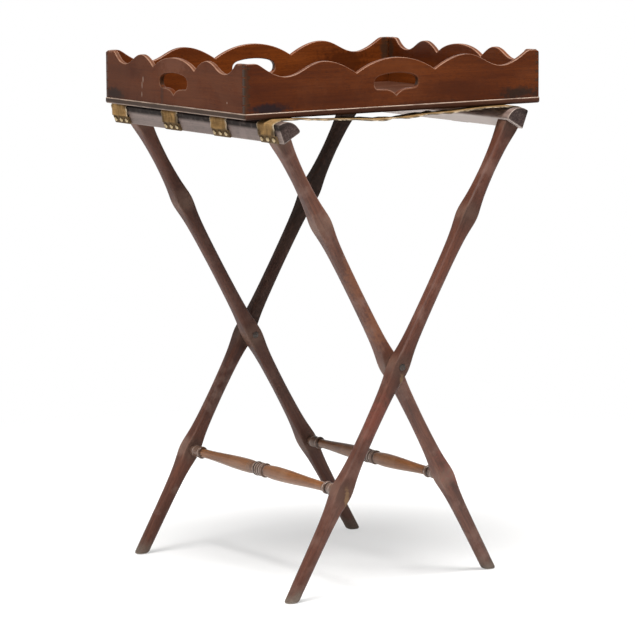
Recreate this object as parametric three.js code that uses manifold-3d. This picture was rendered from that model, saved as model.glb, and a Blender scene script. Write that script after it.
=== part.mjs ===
// A butler's tray on a folding cross-legged stand. Millimetres, +Z up.
// The origin is on the floor under the middle of it all: +X runs along the tray, +Y across it.
import * as THREE from "three";
import { mergeVertices } from "three/addons/utils/BufferGeometryUtils.js";
import Module from "manifold-3d";

const wasm = await Module();
wasm.setup();

// Fits
const seatGap = 0.3;
const socketClearance = 0.3;
const boreClearance = 0.25;
const jointGap = 0.2;
const overrun = 5;

// The stand as it stands open
const trayHeight = 800;
const pivotHeight = 375.3;
const outerLeanDegrees = 30.05;
const innerLeanDegrees = 29.35;
const standOffset = 12.2;
const outerToeDegrees = -0.2;
const innerToeDegrees = 0.8;

// Legs
const legThin = 22;
const footThin = 21;
const legSoftCorner = 9;
const nodeAcross = 24.6;
const nodeDeep = 29;
const nodeCorner = 1.5;
const nodeSpread = 32;
const upperNodeDistance = 284;
const lowerNodeDistance = 230.5;
const outerLegInset = 26;
const legTenonRadius = 8;
const legTenonLength = 20;
const stationShares = [0, 0.35, 0.9, 1.8, 3.2];
const leastStationShare = 0.315;
const cornerSteps = 2;

// Rails
const railLength = 534;
const railOffset = 5;
const railDepth = 32;
const railInner = 20.5;
const railOuter = 16.5;
const railTaper = 4.2;
const railCornerRound = 3;
const crownShare = 0.62;
const crownSteps = 7;

// Pivots
const pivotRadius = 4;
const pivotHeadRadius = 5.8;
const pivotHeadHeight = 0.9;
const washerRadius = 9;
const washerThickness = 0.8;
const pivotSides = 12;

// Turned stretchers
const stretcherTenonRadius = 6;
const stretcherTenonLength = 14;
const ballLength = 26;
const ballRadius = 10.2;
const ringLength = 8;
const ringRadius = 11;
const neckRadius = 7.8;
const spindleEndRadius = 7.8;
const bellyRadius = 11.9;
const bellyDistance = 46;
const spindleShoulderRadius = 10.2;
const bandGrooveRadius = 9.4;
const bandGrooveWidth = 3;
const discWidth = 3.2;
const discRadius = 12.6;
const reedRadius = 12.1;
const reedGrooveRadius = 11;
const reedWidth = 6.8;
const reedCount = 3;
const bandOffset = 2.9;
const spindleSteps = 5;
const ballSteps = 4;
const reedSteps = 2;
const turnedSides = 12;

// Webbing and tacks
const strapShares = [0, 0.31, 0.643, 1];
const strapWidth = 50;
const nearStrapMargin = 14;
const farStrapMargin = 0.5;
const strapThickness = 1.8;
const strapSag = 8.5;
const strapEndRise = 1;
const hemLength = 15;
const sagSteps = 8;
const tacksAcross = 3;
const tackSpacing = 18;
const tackRise = 8;
const tackHeadRadius = 4;
const tackHeadHeight = 2.2;
const tackRim = 0.4;
const tackShankRadius = 0.8;
const tackLength = 10.5;
const domeSteps = 2;
const tackSides = 8;

// Tray
const trayLength = 593;
const trayWidth = 450;
const trayOffset = 3.9;
const cornerHeight = 90.6;
const sideThickness = 9;
const trayCornerRound = 4;
const baseThickness = 10;
const baseProjection = 1.25;
const baseTopRound = 1.3;
const baseFootRound = 3.5;
const floorRise = 1;
const narrowBoardWidth = 51;
const roundSteps = 2;

// Hand holes
const holeWidth = 90;
const holeTopHeight = 65;
const holePointHeight = 26.5;

// Corner dovetails
const pinCount = 5;
const pinPitch = 14.9;
const lowestPinRise = 14;
const pinNarrow = 2.2;
const dovetailDegrees = 10;

// Screws through the base
const screwHeadRadius = 3.6;
const screwHeadDepth = 2.8;
const screwShankRadius = 1.9;
const screwLength = 24;
const screwTip = 4;
const screwRecess = 0.6;
const screwSlotWidth = 0.8;
const screwSlotDepth = 1;
const outerScrewInset = 70;
const innerScrewPlace = 100;
const screwSides = 8;

// The top edge of half a side, from the corner to the middle, as shares of the half length
// and of the side's height: start, then curves as control points and end.
const longEdgeShares = {
  flat: [0.917, 1],
  curves: [
    [0.806, 0.71, 0.735, 0.71],
    [0.633, 0.71, 0.585, 0.986, 0.483, 0.986],
    [0.408, 0.986, 0.333, 0.862, 0.265, 0.706],
    [0.197, 0.868, 0.102, 0.9925, 0, 0.9925],
  ],
};
const endEdgeShares = {
  flat: [0.864, 1],
  curves: [
    [0.8, 0.756, 0.711, 0.756],
    [0.604, 0.756, 0.569, 0.986, 0.462, 0.986],
    [0.409, 0.986, 0.342, 0.874, 0.293, 0.75],
    [0.222, 0.905, 0.111, 0.984, 0, 0.984],
  ],
};
const edgeSteps = 6;

// Half of a hand hole, from the middle of its arch to its point, as shares of the half width
// and of the hole's height.
const holeShares = {
  start: [0, 1],
  curves: [
    [0.42, 1, 0.74, 0.9],
    [0.98, 0.82, 1, 0.6],
    [1, 0.3, 0.8, 0.285],
    [0.62, 0.275, 0.42, 0.26],
    [0.16, 0.2, 0, 0],
  ],
};
const holeSteps = 4;

const outerLean = THREE.MathUtils.degToRad(outerLeanDegrees);
const innerLean = THREE.MathUtils.degToRad(innerLeanDegrees);
const outerToe = Math.tan(THREE.MathUtils.degToRad(outerToeDegrees));
const innerToe = Math.tan(THREE.MathUtils.degToRad(innerToeDegrees));
const galleryHeight = cornerHeight - baseThickness - seatGap;
const galleryBottom = trayHeight + baseThickness + seatGap;
const outerLegPlace = railLength / 2 - outerLegInset;
const innerLegPlace = outerLegPlace - nodeAcross - washerThickness - 2 * seatGap;

// Materials
function wood(color, roughness) {
  return new THREE.MeshStandardMaterial({ color, roughness, metalness: 0 });
}

const trayWood = () => wood(0x6b3018, 0.38);
const standWood = () => wood(0x4b322c, 0.42);
const turnedWood = () => wood(0x8a5a38, 0.42);
const railWood = () => wood(0x5d4840, 0.45);
const webbing = () => wood(0x93713d, 0.92);

function metal(color, roughness) {
  return new THREE.MeshStandardMaterial({ color, roughness, metalness: 1 });
}

const agedBrass = () => metal(0x8d6f3c, 0.4);
const iron = () => metal(0x4a4643, 0.5);

// Solids
function solidFrom(geometry) {
  const bare = geometry.clone();
  bare.deleteAttribute("normal");
  bare.deleteAttribute("uv");
  const merged = mergeVertices(bare);
  return new wasm.Manifold(
    new wasm.Mesh({
      numProp: 3,
      vertProperties: merged.attributes.position.array,
      triVerts: new Uint32Array(merged.index.array),
    }),
  );
}

function geometryFrom(solid) {
  const mesh = solid.getMesh();
  const geometry = new THREE.BufferGeometry();
  geometry.setAttribute("position", new THREE.BufferAttribute(mesh.vertProperties, 3));
  geometry.setIndex(new THREE.BufferAttribute(mesh.triVerts, 1));
  geometry.computeVertexNormals();
  return geometry;
}

function without(geometry, tools) {
  const cut = tools.reduce((solid, tool) => solid.subtract(solidFrom(tool)), solidFrom(geometry));
  return geometryFrom(cut);
}

function joined(first, second) {
  return geometryFrom(solidFrom(first).add(solidFrom(second)));
}

function common(first, second) {
  return geometryFrom(solidFrom(first).intersect(solidFrom(second)));
}

function part(name, geometry, material) {
  const mesh = new THREE.Mesh(geometry, material);
  mesh.name = name;
  return mesh;
}

// A box between two corners.
function boxBetween(low, high) {
  const size = new THREE.Vector3().subVectors(high, low);
  const middle = new THREE.Vector3().addVectors(low, high).multiplyScalar(0.5);
  return new THREE.BoxGeometry(size.x, size.y, size.z).translate(middle.x, middle.y, middle.z);
}

// A round bar along Y from one place to another.
function barAlongY(radius, from, to, sides) {
  const length = Math.abs(to - from);
  return new THREE.CylinderGeometry(radius, radius, length, sides).translate(0, (from + to) / 2, 0);
}

// A flat outline in X and Z, pushed along Y from `from` by `depth`.
function pushedAlongY(shape, from, depth, curveSegments) {
  const geometry = new THREE.ExtrudeGeometry(shape, { depth, bevelEnabled: false, curveSegments });
  return geometry.rotateX(Math.PI / 2).translate(0, from + depth, 0);
}

// Rail section: X is outward, Y runs up the leg from the rail's bottom face.
function railShape() {
  const crownStart = railOuter - railTaper - railCornerRound;
  const crownSpan = crownStart + railInner;
  const shape = new THREE.Shape();
  shape.moveTo(-railInner, 0);
  shape.lineTo(railOuter, 0);
  shape.lineTo(railOuter - railTaper, railDepth - railCornerRound);
  shape.quadraticCurveTo(railOuter - railTaper, railDepth, crownStart, railDepth);
  const firstHandle = crownStart - crownShare * crownSpan;
  shape.bezierCurveTo(firstHandle, railDepth, -railInner, crownShare * railDepth, -railInner, 0);
  return shape;
}

const railOutline = railShape().getPoints(crownSteps);

// How far a point of the rail section stands above its bottom edge line when the frame leans.
function riseOf(point, lean) {
  return point.y * Math.cos(lean) - point.x * Math.sin(lean);
}

function crestIndex(lean) {
  const rises = railOutline.map((point) => riseOf(point, lean));
  return rises.indexOf(Math.max(...rises));
}

// Distance from the pivot up the leg to the rail's bottom face, so that the webbing on the
// rail's crest just carries the tray.
function railSeat(lean) {
  const crestHeight = trayHeight - strapThickness - 2 * seatGap;
  const crestRise = riseOf(railOutline[crestIndex(lean)], lean);
  return (crestHeight - pivotHeight - crestRise) / Math.cos(lean);
}

// A frame leans about the pivot; the inner one is the same frame turned half round.
function frameMatrix(lean, turned) {
  const place = new THREE.Matrix4().makeTranslation(-standOffset, 0, pivotHeight);
  const tilt = new THREE.Matrix4().makeRotationY(turned ? -lean : lean);
  const turn = new THREE.Matrix4().makeRotationZ(turned ? Math.PI : 0);
  return place.multiply(tilt).multiply(turn);
}

// How much of a node's swelling a place on the leg has, from 0 to 1.
function swelling(distance, seat) {
  const nodes = [-lowerNodeDistance, 0, upperNodeDistance, seat];
  const shares = nodes.map((node) => 1 / (1 + ((distance - node) / nodeSpread) ** 2));
  return Math.max(...shares);
}

function legSection(distance, seat, footPlace) {
  const share = swelling(distance, seat);
  const belowNode = (-lowerNodeDistance - distance) / (footPlace - lowerNodeDistance);
  const taper = THREE.MathUtils.clamp(belowNode, 0, 1);
  const thin = THREE.MathUtils.lerp(legThin, footThin, taper);
  return {
    deep: THREE.MathUtils.lerp(thin, nodeDeep, share),
    across: THREE.MathUtils.lerp(thin, nodeAcross, share),
    round: THREE.MathUtils.lerp(legSoftCorner, nodeCorner, share),
  };
}

// Points round a rectangle with round corners, seen from the top of the leg.
function sectionPoints({ deep, across, round }) {
  const corners = [
    [1, 1],
    [-1, 1],
    [-1, -1],
    [1, -1],
  ];
  return corners.flatMap(([signX, signY], corner) =>
    Array.from({ length: cornerSteps + 1 }, (_, step) => {
      const angle = (Math.PI / 2) * (corner + step / cornerSteps);
      const x = signX * (deep / 2 - round) + round * Math.cos(angle);
      const y = signY * (across / 2 - round) + round * Math.sin(angle);
      return [x, y];
    }),
  );
}

// Places along the leg where its section is drawn: close together at the nodes.
function legStations(bottom, seat) {
  const top = seat - seatGap;
  const nodes = [-lowerNodeDistance, 0, upperNodeDistance, seat];
  const around = nodes.flatMap((node) =>
    stationShares.flatMap((share) => [node - share * nodeSpread, node + share * nodeSpread]),
  );
  const sorted = [bottom, top, ...around].sort((a, b) => a - b);
  const least = nodeSpread * leastStationShare;
  return sorted.filter((place, index) => {
    const isEnd = place === bottom || place === top;
    const clearOfEnds = place - bottom >= least && top - place >= least;
    return isEnd || (clearOfEnds && place - sorted[index - 1] > 0);
  });
}

// A closed skin through rings of points.
function loft(rings) {
  const count = rings[0].length;
  const positions = rings.flat(2);
  const index = [];
  for (let ring = 0; ring < rings.length - 1; ring += 1) {
    for (let side = 0; side < count; side += 1) {
      const a = ring * count + side;
      const b = ring * count + ((side + 1) % count);
      index.push(a, b, b + count, a, b + count, a + count);
    }
  }
  const last = (rings.length - 1) * count;
  for (let side = 1; side < count - 1; side += 1) {
    index.push(0, side + 1, side);
    index.push(last, last + side, last + side + 1);
  }
  const geometry = new THREE.BufferGeometry();
  geometry.setAttribute("position", new THREE.Float32BufferAttribute(positions, 3));
  geometry.setIndex(index);
  return geometry;
}

// Everything below the floor, as seen from a leaning frame.
function belowFloor(lean) {
  const size = 2 * trayHeight;
  const block = new THREE.BoxGeometry(size, size, size);
  return block.translate(0, 0, -pivotHeight - size / 2).rotateY(-lean);
}

function legPlace(frame, distance) {
  return frame.legPlace + frame.toe * distance;
}

function leg(frame, side) {
  const seat = railSeat(frame.lean);
  const footPlace = pivotHeight / Math.cos(frame.lean);
  const bottom = -footPlace - nodeDeep;
  const rings = legStations(bottom, seat).map((distance) => {
    const middle = side * legPlace(frame, distance);
    const points = sectionPoints(legSection(distance, seat, footPlace));
    return points.map(([x, y]) => [x, y + middle, distance]);
  });
  const top = side * legPlace(frame, seat);
  const tenonLength = legTenonLength + overrun;
  const tenon = new THREE.CylinderGeometry(legTenonRadius, legTenonRadius, tenonLength, turnedSides);
  tenon.rotateX(Math.PI / 2).translate(0, top, seat + (legTenonLength - overrun) / 2);
  const pivot = side * frame.legPlace;
  const boreRadius = pivotRadius + boreClearance;
  const bore = barAlongY(boreRadius, pivot - nodeAcross, pivot + nodeAcross, pivotSides);
  const innerFace = legPlace(frame, -lowerNodeDistance) - nodeAcross / 2;
  const socketFrom = side * (innerFace - overrun);
  const socketTo = side * (innerFace + stretcherTenonLength + socketClearance);
  const socketRadius = stretcherTenonRadius + socketClearance;
  const socket = barAlongY(socketRadius, socketFrom, socketTo, turnedSides);
  socket.translate(0, 0, -lowerNodeDistance);
  return without(joined(loft(rings), tenon), [belowFloor(frame.lean), bore, socket]);
}

// Tack places in a frame: the outward normal of the rail's outer face and a point on it.
const faceNormal = new THREE.Vector2(railDepth, railTaper).normalize();

function facePoint(rise) {
  return new THREE.Vector2(railOuter - (railTaper * rise) / railDepth, rise);
}

function tackMatrix(frame, place) {
  const foot = facePoint(tackRise);
  const stand = 2 * seatGap + 2 * strapThickness;
  const x = foot.x + faceNormal.x * stand;
  const z = foot.y + faceNormal.y * stand + railSeat(frame.lean);
  const outward = new THREE.Vector3(faceNormal.x, 0, faceNormal.y);
  const turn = new THREE.Quaternion().setFromUnitVectors(new THREE.Vector3(0, 1, 0), outward);
  const scale = new THREE.Vector3(1, 1, 1);
  return new THREE.Matrix4().compose(new THREE.Vector3(x, place, z), turn, scale);
}

// Where the straps lie along the rails, from the near one to the far one.
function strapPlaces() {
  const first = railOffset - railLength / 2 + nearStrapMargin + strapWidth / 2;
  const last = railOffset + railLength / 2 - farStrapMargin - strapWidth / 2;
  return strapShares.map((share) => THREE.MathUtils.lerp(first, last, share));
}

// A place across the tray, as a turned or unturned frame measures it.
function placeInFrame(frame, place) {
  return frame.turned ? -place : place;
}

function tackPlaces(strapPlace) {
  const middle = (tacksAcross - 1) / 2;
  return Array.from({ length: tacksAcross }, (_, index) => strapPlace + (index - middle) * tackSpacing);
}

function tackHole() {
  const radius = tackShankRadius + socketClearance;
  return barAlongY(radius, -tackLength - socketClearance, overrun, tackSides);
}

// A domed nail: the head's underside is at zero and the shank points down.
function tack() {
  const dome = Array.from({ length: domeSteps }, (_, step) => {
    const angle = (Math.PI / 2) * (step / domeSteps);
    const height = tackRim + (tackHeadHeight - tackRim) * Math.sin(angle);
    return new THREE.Vector2(tackHeadRadius * Math.cos(angle), height);
  });
  const profile = [
    new THREE.Vector2(0, -tackLength),
    new THREE.Vector2(tackShankRadius, -tackLength + tackHeadRadius),
    new THREE.Vector2(tackShankRadius, 0),
    new THREE.Vector2(tackHeadRadius, 0),
    ...dome,
    new THREE.Vector2(0, tackHeadHeight),
  ];
  return new THREE.LatheGeometry(profile, tackSides);
}

function rail(frame) {
  const seat = railSeat(frame.lean);
  const from = placeInFrame(frame, railOffset) - railLength / 2;
  const blank = pushedAlongY(railShape(), from, railLength, crownSteps).translate(0, 0, seat);
  const socketRadius = legTenonRadius + socketClearance;
  const socketLength = legTenonLength + socketClearance + overrun;
  const sockets = [-1, 1].map((side) => {
    const hole = new THREE.CylinderGeometry(socketRadius, socketRadius, socketLength, turnedSides);
    const height = seat - overrun + socketLength / 2;
    return hole.rotateX(Math.PI / 2).translate(0, side * legPlace(frame, seat), height);
  });
  const holes = strapPlaces()
    .flatMap(tackPlaces)
    .map((place) => tackHole().applyMatrix4(tackMatrix(frame, placeInFrame(frame, place))));
  return without(blank, [...sockets, ...holes]);
}

// A turned bead between two places, as points on its outside.
function bead(from, to, valley, crest, steps) {
  return Array.from({ length: steps + 1 }, (_, step) => {
    const share = step / steps;
    const radius = valley + (crest - valley) * Math.sin(Math.PI * share);
    return new THREE.Vector2(radius, THREE.MathUtils.lerp(from, to, share));
  });
}

// Half a stretcher's profile, from its middle to the end of its tenon.
function stretcherHalf(halfLength) {
  const reedHalf = (reedCount * reedWidth) / 2;
  const reeds = Array.from({ length: reedCount }, (_, index) => index * reedWidth - reedHalf)
    .flatMap((from) => bead(from, from + reedWidth, reedGrooveRadius, reedRadius, reedSteps).slice(1))
    .filter((point) => point.y > -reedWidth / 4);
  const disc = [
    new THREE.Vector2(discRadius, reedHalf),
    new THREE.Vector2(discRadius, reedHalf + discWidth),
  ];
  const groove = reedHalf + discWidth + bandGrooveWidth / 2;
  const spindleFrom = groove + bandGrooveWidth / 2;
  const ringFrom = halfLength - ballLength - ringLength;
  const spindle = Array.from({ length: spindleSteps + 1 }, (_, step) => {
    const place = THREE.MathUtils.lerp(bellyDistance, ringFrom, step / spindleSteps);
    const fall = (1 - Math.cos((Math.PI * step) / spindleSteps)) / 2;
    return new THREE.Vector2(THREE.MathUtils.lerp(bellyRadius, spindleEndRadius, fall), place);
  });
  const shoulderShare = 2 / 3;
  const belly = new THREE.Vector2(
    THREE.MathUtils.lerp(spindleShoulderRadius, bellyRadius, shoulderShare),
    (spindleFrom + bellyDistance) / 2,
  );
  return [
    ...reeds,
    ...disc,
    new THREE.Vector2(bandGrooveRadius, groove),
    new THREE.Vector2(spindleShoulderRadius, spindleFrom),
    belly,
    ...spindle,
    ...bead(ringFrom, ringFrom + ringLength, neckRadius, ringRadius, reedSteps),
    ...bead(halfLength - ballLength, halfLength, neckRadius, ballRadius, ballSteps).slice(1),
    new THREE.Vector2(stretcherTenonRadius, halfLength),
    new THREE.Vector2(stretcherTenonRadius, halfLength + stretcherTenonLength),
    new THREE.Vector2(0, halfLength + stretcherTenonLength),
  ];
}

function stretcher(frame) {
  const halfLength = legPlace(frame, -lowerNodeDistance) - nodeAcross / 2 - seatGap;
  const upper = stretcherHalf(halfLength);
  const lower = upper.slice(1).map((point) => new THREE.Vector2(point.x, -point.y));
  // The band in the middle was turned a little off the centre.
  const ringFrom = halfLength - ballLength - ringLength;
  const placed = [...lower.reverse(), ...upper].map((point) => {
    const share = THREE.MathUtils.clamp((ringFrom - Math.abs(point.y)) / (ringFrom - bellyDistance), 0, 1);
    return new THREE.Vector2(point.x, point.y + placeInFrame(frame, bandOffset) * share);
  });
  const turned = new THREE.LatheGeometry(placed, turnedSides);
  return turned.translate(0, 0, -lowerNodeDistance);
}

// The pin runs through both legs and has a low head on each outside face.
function pivotPin(side) {
  const outerEnd = outerLegPlace + nodeAcross / 2 + seatGap;
  const innerEnd = innerLegPlace - nodeAcross / 2 - seatGap;
  const head = (face, way) => [
    new THREE.Vector2(pivotHeadRadius, face),
    new THREE.Vector2(pivotHeadRadius, face + (way * pivotHeadHeight) / 3),
    new THREE.Vector2(pivotRadius, face + way * pivotHeadHeight),
    new THREE.Vector2(0, face + way * pivotHeadHeight),
  ];
  const profile = [
    ...head(innerEnd, -1).reverse(),
    new THREE.Vector2(pivotRadius, innerEnd),
    new THREE.Vector2(pivotRadius, outerEnd),
    ...head(outerEnd, 1),
  ];
  const pin = new THREE.LatheGeometry(profile, pivotSides);
  return side < 0 ? pin.rotateX(Math.PI) : pin;
}

function pivotWasher(side) {
  const low = innerLegPlace + nodeAcross / 2 + seatGap;
  const high = low + washerThickness;
  const inside = pivotRadius + boreClearance;
  const profile = [
    new THREE.Vector2(inside, low),
    new THREE.Vector2(washerRadius, low),
    new THREE.Vector2(washerRadius, high),
    new THREE.Vector2(inside, high),
    new THREE.Vector2(inside, low),
  ];
  const ring = new THREE.LatheGeometry(profile, pivotSides);
  return side < 0 ? ring.rotateX(Math.PI) : ring;
}

function crossFrame(frame) {
  const group = new THREE.Group();
  group.applyMatrix4(frameMatrix(frame.lean, frame.turned));
  const near = frame.turned ? 1 : -1;
  group.add(part(`${frame.name}_rail`, rail(frame), railWood()));
  group.add(part(`${frame.name}_leg_near`, leg(frame, near), standWood()));
  group.add(part(`${frame.name}_leg_far`, leg(frame, -near), standWood()));
  group.add(part(`${frame.name}_stretcher`, stretcher(frame), turnedWood()));
  strapPlaces()
    .flatMap(tackPlaces)
    .forEach((place, index) => {
      const nail = part(`${frame.name}_tack_${index + 1}`, tack(), agedBrass());
      nail.applyMatrix4(tackMatrix(frame, placeInFrame(frame, place)));
      group.add(nail);
    });
  return group;
}

// One end of the webbing, in world X and Z, from its hem up to the rail's crest:
// pairs of a point on its inside and a point on its outside.
function strapEnd(frame) {
  const crest = crestIndex(frame.lean);
  const seat = railSeat(frame.lean);
  const hem = facePoint(hemLength);
  const route = [
    { point: facePoint(strapEndRise), normal: faceNormal, layers: 2 },
    { point: hem, normal: faceNormal, layers: 2 },
    { point: hem, normal: faceNormal, layers: 1 },
  ];
  for (let index = 2; index < crest; index += 1) {
    const along = new THREE.Vector2().subVectors(railOutline[index + 1], railOutline[index - 1]);
    const normal = new THREE.Vector2(along.y, -along.x).normalize();
    route.push({ point: railOutline[index], normal, layers: 1 });
  }
  const up = new THREE.Vector2(-Math.sin(frame.lean), Math.cos(frame.lean));
  route.push({ point: railOutline[crest], normal: up, layers: 1 });
  const matrix = frameMatrix(frame.lean, frame.turned);
  const toWorld = (point) => {
    const place = new THREE.Vector3(point.x, 0, point.y + seat).applyMatrix4(matrix);
    return new THREE.Vector2(place.x, place.z);
  };
  return route.map(({ point, normal, layers }) => ({
    inside: toWorld(point.clone().addScaledVector(normal, seatGap)),
    outside: toWorld(point.clone().addScaledVector(normal, seatGap + layers * strapThickness)),
  }));
}

function strap(place) {
  const left = strapEnd(innerFrame);
  const right = strapEnd(outerFrame).reverse();
  const from = left.at(-1).inside;
  const to = right[0].inside;
  const middle = Array.from({ length: sagSteps - 1 }, (_, step) => {
    const share = (step + 1) / sagSteps;
    const drop = strapSag * Math.sin(Math.PI * share) ** 2;
    const inside = new THREE.Vector2().lerpVectors(from, to, share);
    inside.y -= drop;
    return { inside, outside: new THREE.Vector2(inside.x, inside.y + strapThickness) };
  });
  const pairs = [...left, ...middle, ...right];
  const insides = pairs
    .map((pair) => pair.inside)
    .filter((point, index, all) => !index || !point.equals(all[index - 1]));
  const outline = new THREE.Shape([...insides, ...pairs.map((pair) => pair.outside).reverse()]);
  const blank = pushedAlongY(outline, place - strapWidth / 2, strapWidth, 1);
  const holes = [innerFrame, outerFrame].flatMap((frame) =>
    tackPlaces(place).map((tackPlace) => {
      const local = tackMatrix(frame, placeInFrame(frame, tackPlace));
      return tackHole().applyMatrix4(frameMatrix(frame.lean, frame.turned).multiply(local));
    }),
  );
  return without(blank, holes);
}

// Draws shared curves, mirrored or not, on a path.
function drawCurves(path, curves, place) {
  curves.forEach((numbers) => {
    const points = [];
    for (let index = 0; index < numbers.length; index += 2) {
      points.push(...place(numbers[index], numbers[index + 1]));
    }
    if (points.length === 4) {
      path.quadraticCurveTo(...points);
    } else {
      path.bezierCurveTo(...points);
    }
  });
}

// The same curves run backwards from the last point to the first.
function reversedCurves(start, curves) {
  const ends = [start, ...curves.map((numbers) => numbers.slice(-2))];
  return curves
    .map((numbers, index) => {
      const controls = numbers.slice(0, -2);
      const turned = [];
      for (let pair = controls.length - 2; pair >= 0; pair -= 2) {
        turned.push(controls[pair], controls[pair + 1]);
      }
      return [...turned, ...ends[index]];
    })
    .reverse();
}

function handHole() {
  const height = holeTopHeight - holePointHeight;
  const bottom = holePointHeight - baseThickness - seatGap;
  const onRight = (x, y) => [(x * holeWidth) / 2, bottom + y * height];
  const onLeft = (x, y) => [(-x * holeWidth) / 2, bottom + y * height];
  const path = new THREE.Path();
  path.moveTo(...onRight(...holeShares.start));
  drawCurves(path, holeShares.curves, onRight);
  drawCurves(path, reversedCurves(holeShares.start, holeShares.curves), onLeft);
  return new THREE.Path(path.getPoints(holeSteps));
}

// The outline of one side of the tray, from its own bottom edge up.
function sideShape(length, shares) {
  const onRight = (x, y) => [(x * length) / 2, y * galleryHeight];
  const onLeft = (x, y) => [(-x * length) / 2, y * galleryHeight];
  const shape = new THREE.Shape();
  shape.moveTo(-length / 2, 0);
  shape.lineTo(length / 2, 0);
  shape.lineTo(length / 2, galleryHeight);
  shape.lineTo(...onRight(...shares.flat));
  drawCurves(shape, shares.curves, onRight);
  drawCurves(shape, reversedCurves(shares.flat, shares.curves), onLeft);
  shape.lineTo(-length / 2, galleryHeight);
  shape.holes.push(handHole());
  return shape;
}

// A pin of the corner joint, narrow on the outside, grown by a clearance.
function pinShape(rise, grow) {
  const half = pinNarrow / 2 + grow;
  const slope = Math.tan(THREE.MathUtils.degToRad(dovetailDegrees));
  const outside = trayLength / 2 + overrun;
  const inside = trayLength / 2 - sideThickness - grow;
  const wide = half + slope * (trayLength / 2 - inside);
  const narrow = half - slope * overrun;
  return new THREE.Shape([
    new THREE.Vector2(inside, rise - wide),
    new THREE.Vector2(outside, rise - narrow),
    new THREE.Vector2(outside, rise + narrow),
    new THREE.Vector2(inside, rise + wide),
  ]);
}

function pinRises() {
  return Array.from({ length: pinCount }, (_, index) => lowestPinRise + index * pinPitch);
}

// Pins at all four corners, as prisms across the front and back sides.
function cornerPins(grow) {
  const from = trayWidth / 2 - sideThickness - overrun;
  const depth = sideThickness + 2 * overrun;
  return [0, Math.PI].flatMap((turn) =>
    [-from - depth, from].flatMap((start) =>
      pinRises().map((rise) => pushedAlongY(pinShape(rise, grow), start, depth, 1).rotateZ(turn)),
    ),
  );
}

// The space that the long sides take at the corners, which the end boards leave free.
function cornerBlocks() {
  const inside = trayWidth / 2 - sideThickness - jointGap;
  return [-1, 1].map((side) => {
    const low = new THREE.Vector3(-trayLength, Math.min(side * inside, side * trayWidth), -overrun);
    const high = new THREE.Vector3(trayLength, Math.max(side * inside, side * trayWidth), cornerHeight);
    return boxBetween(low, high);
  });
}

function roundedPlan(length, width, round) {
  const x = length / 2;
  const y = width / 2;
  const plan = new THREE.Shape();
  plan.moveTo(-x + round, -y);
  plan.lineTo(x - round, -y);
  plan.absarc(x - round, -y + round, round, -Math.PI / 2, 0);
  plan.lineTo(x, y - round);
  plan.absarc(x - round, y - round, round, 0, Math.PI / 2);
  plan.lineTo(-x + round, y);
  plan.absarc(-x + round, y - round, round, Math.PI / 2, Math.PI);
  plan.lineTo(-x, -y + round);
  plan.absarc(-x + round, -y + round, round, Math.PI, (3 * Math.PI) / 2);
  return plan;
}

function galleryEnvelope() {
  const plan = roundedPlan(trayLength, trayWidth, trayCornerRound);
  const settings = { depth: cornerHeight, bevelEnabled: false, curveSegments: roundSteps };
  return new THREE.ExtrudeGeometry(plan, settings);
}

// A long side, with sockets for the pins at both ends.
function longSide(side) {
  const outerFace = (side * trayWidth) / 2;
  const from = side < 0 ? outerFace : outerFace - sideThickness;
  const blank = pushedAlongY(sideShape(trayLength, longEdgeShares), from, sideThickness, edgeSteps);
  return without(common(blank, galleryEnvelope()), [...cornerPins(jointGap), ...screwHolesInSides()]);
}

// An end board, which keeps only its pins inside the corners.
function endSide(side) {
  const outerFace = trayLength / 2;
  const from = outerFace - sideThickness;
  const turn = side < 0 ? Math.PI / 2 : -Math.PI / 2;
  const outline = sideShape(trayWidth, endEdgeShares);
  const plank = pushedAlongY(outline, from, sideThickness, edgeSteps).rotateZ(turn);
  const blank = solidFrom(common(plank, galleryEnvelope()));
  const corners = cornerBlocks().map(solidFrom);
  const body = corners.reduce((solid, block) => solid.subtract(block), blank);
  const pins = cornerPins(0)
    .map((pin) => solidFrom(pin).intersect(blank))
    .filter((pin) => !pin.isEmpty());
  const whole = pins.reduce((solid, pin) => solid.add(pin), body);
  return without(geometryFrom(whole), screwHolesInSides());
}

// A slab with round edges, from which the base takes one of its two roundings.
function roundedSlab(round, thickness) {
  const plan = roundedPlan(
    trayLength + 2 * baseProjection,
    trayWidth + 2 * baseProjection,
    trayCornerRound + baseProjection,
  );
  const settings = {
    depth: thickness - round,
    bevelThickness: round,
    bevelSize: round,
    bevelOffset: -round,
    bevelSegments: roundSteps,
    curveSegments: roundSteps,
  };
  return new THREE.ExtrudeGeometry(plan, settings);
}

// The whole base from its underside up, with the floor raised inside the sides.
function baseBlank() {
  const footRounded = roundedSlab(baseFootRound, baseThickness).translate(0, 0, baseFootRound);
  const topRounded = roundedSlab(baseTopRound, baseThickness);
  const inset = sideThickness + seatGap;
  const low = new THREE.Vector3(inset - trayLength / 2, inset - trayWidth / 2, baseThickness / 2);
  const high = new THREE.Vector3(-low.x, -low.y, baseThickness + floorRise);
  return joined(common(footRounded, topRounded), boxBetween(low, high));
}

function baseBoard(side) {
  const split = trayWidth / 2 - narrowBoardWidth;
  const far = trayWidth + overrun;
  const from = side < 0 ? -far : split + seatGap / 2;
  const to = side < 0 ? split - seatGap / 2 : far;
  const low = new THREE.Vector3(-trayLength, from, -overrun);
  const high = new THREE.Vector3(trayLength, to, cornerHeight);
  return without(common(baseBlank(), boxBetween(low, high)), screwHoles());
}

// Screws along the middle of each side's thickness.
function screwPlaces() {
  const alongX = trayLength / 2 - sideThickness / 2;
  const alongY = trayWidth / 2 - sideThickness / 2;
  const outerPlace = trayLength / 2 - outerScrewInset;
  const long = [-outerPlace, -innerScrewPlace, innerScrewPlace, outerPlace];
  return [
    ...long.map((x) => [x, -alongY]),
    ...long.map((x) => [x, alongY]),
    [-alongX, 0],
    [alongX, 0],
  ];
}

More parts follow.
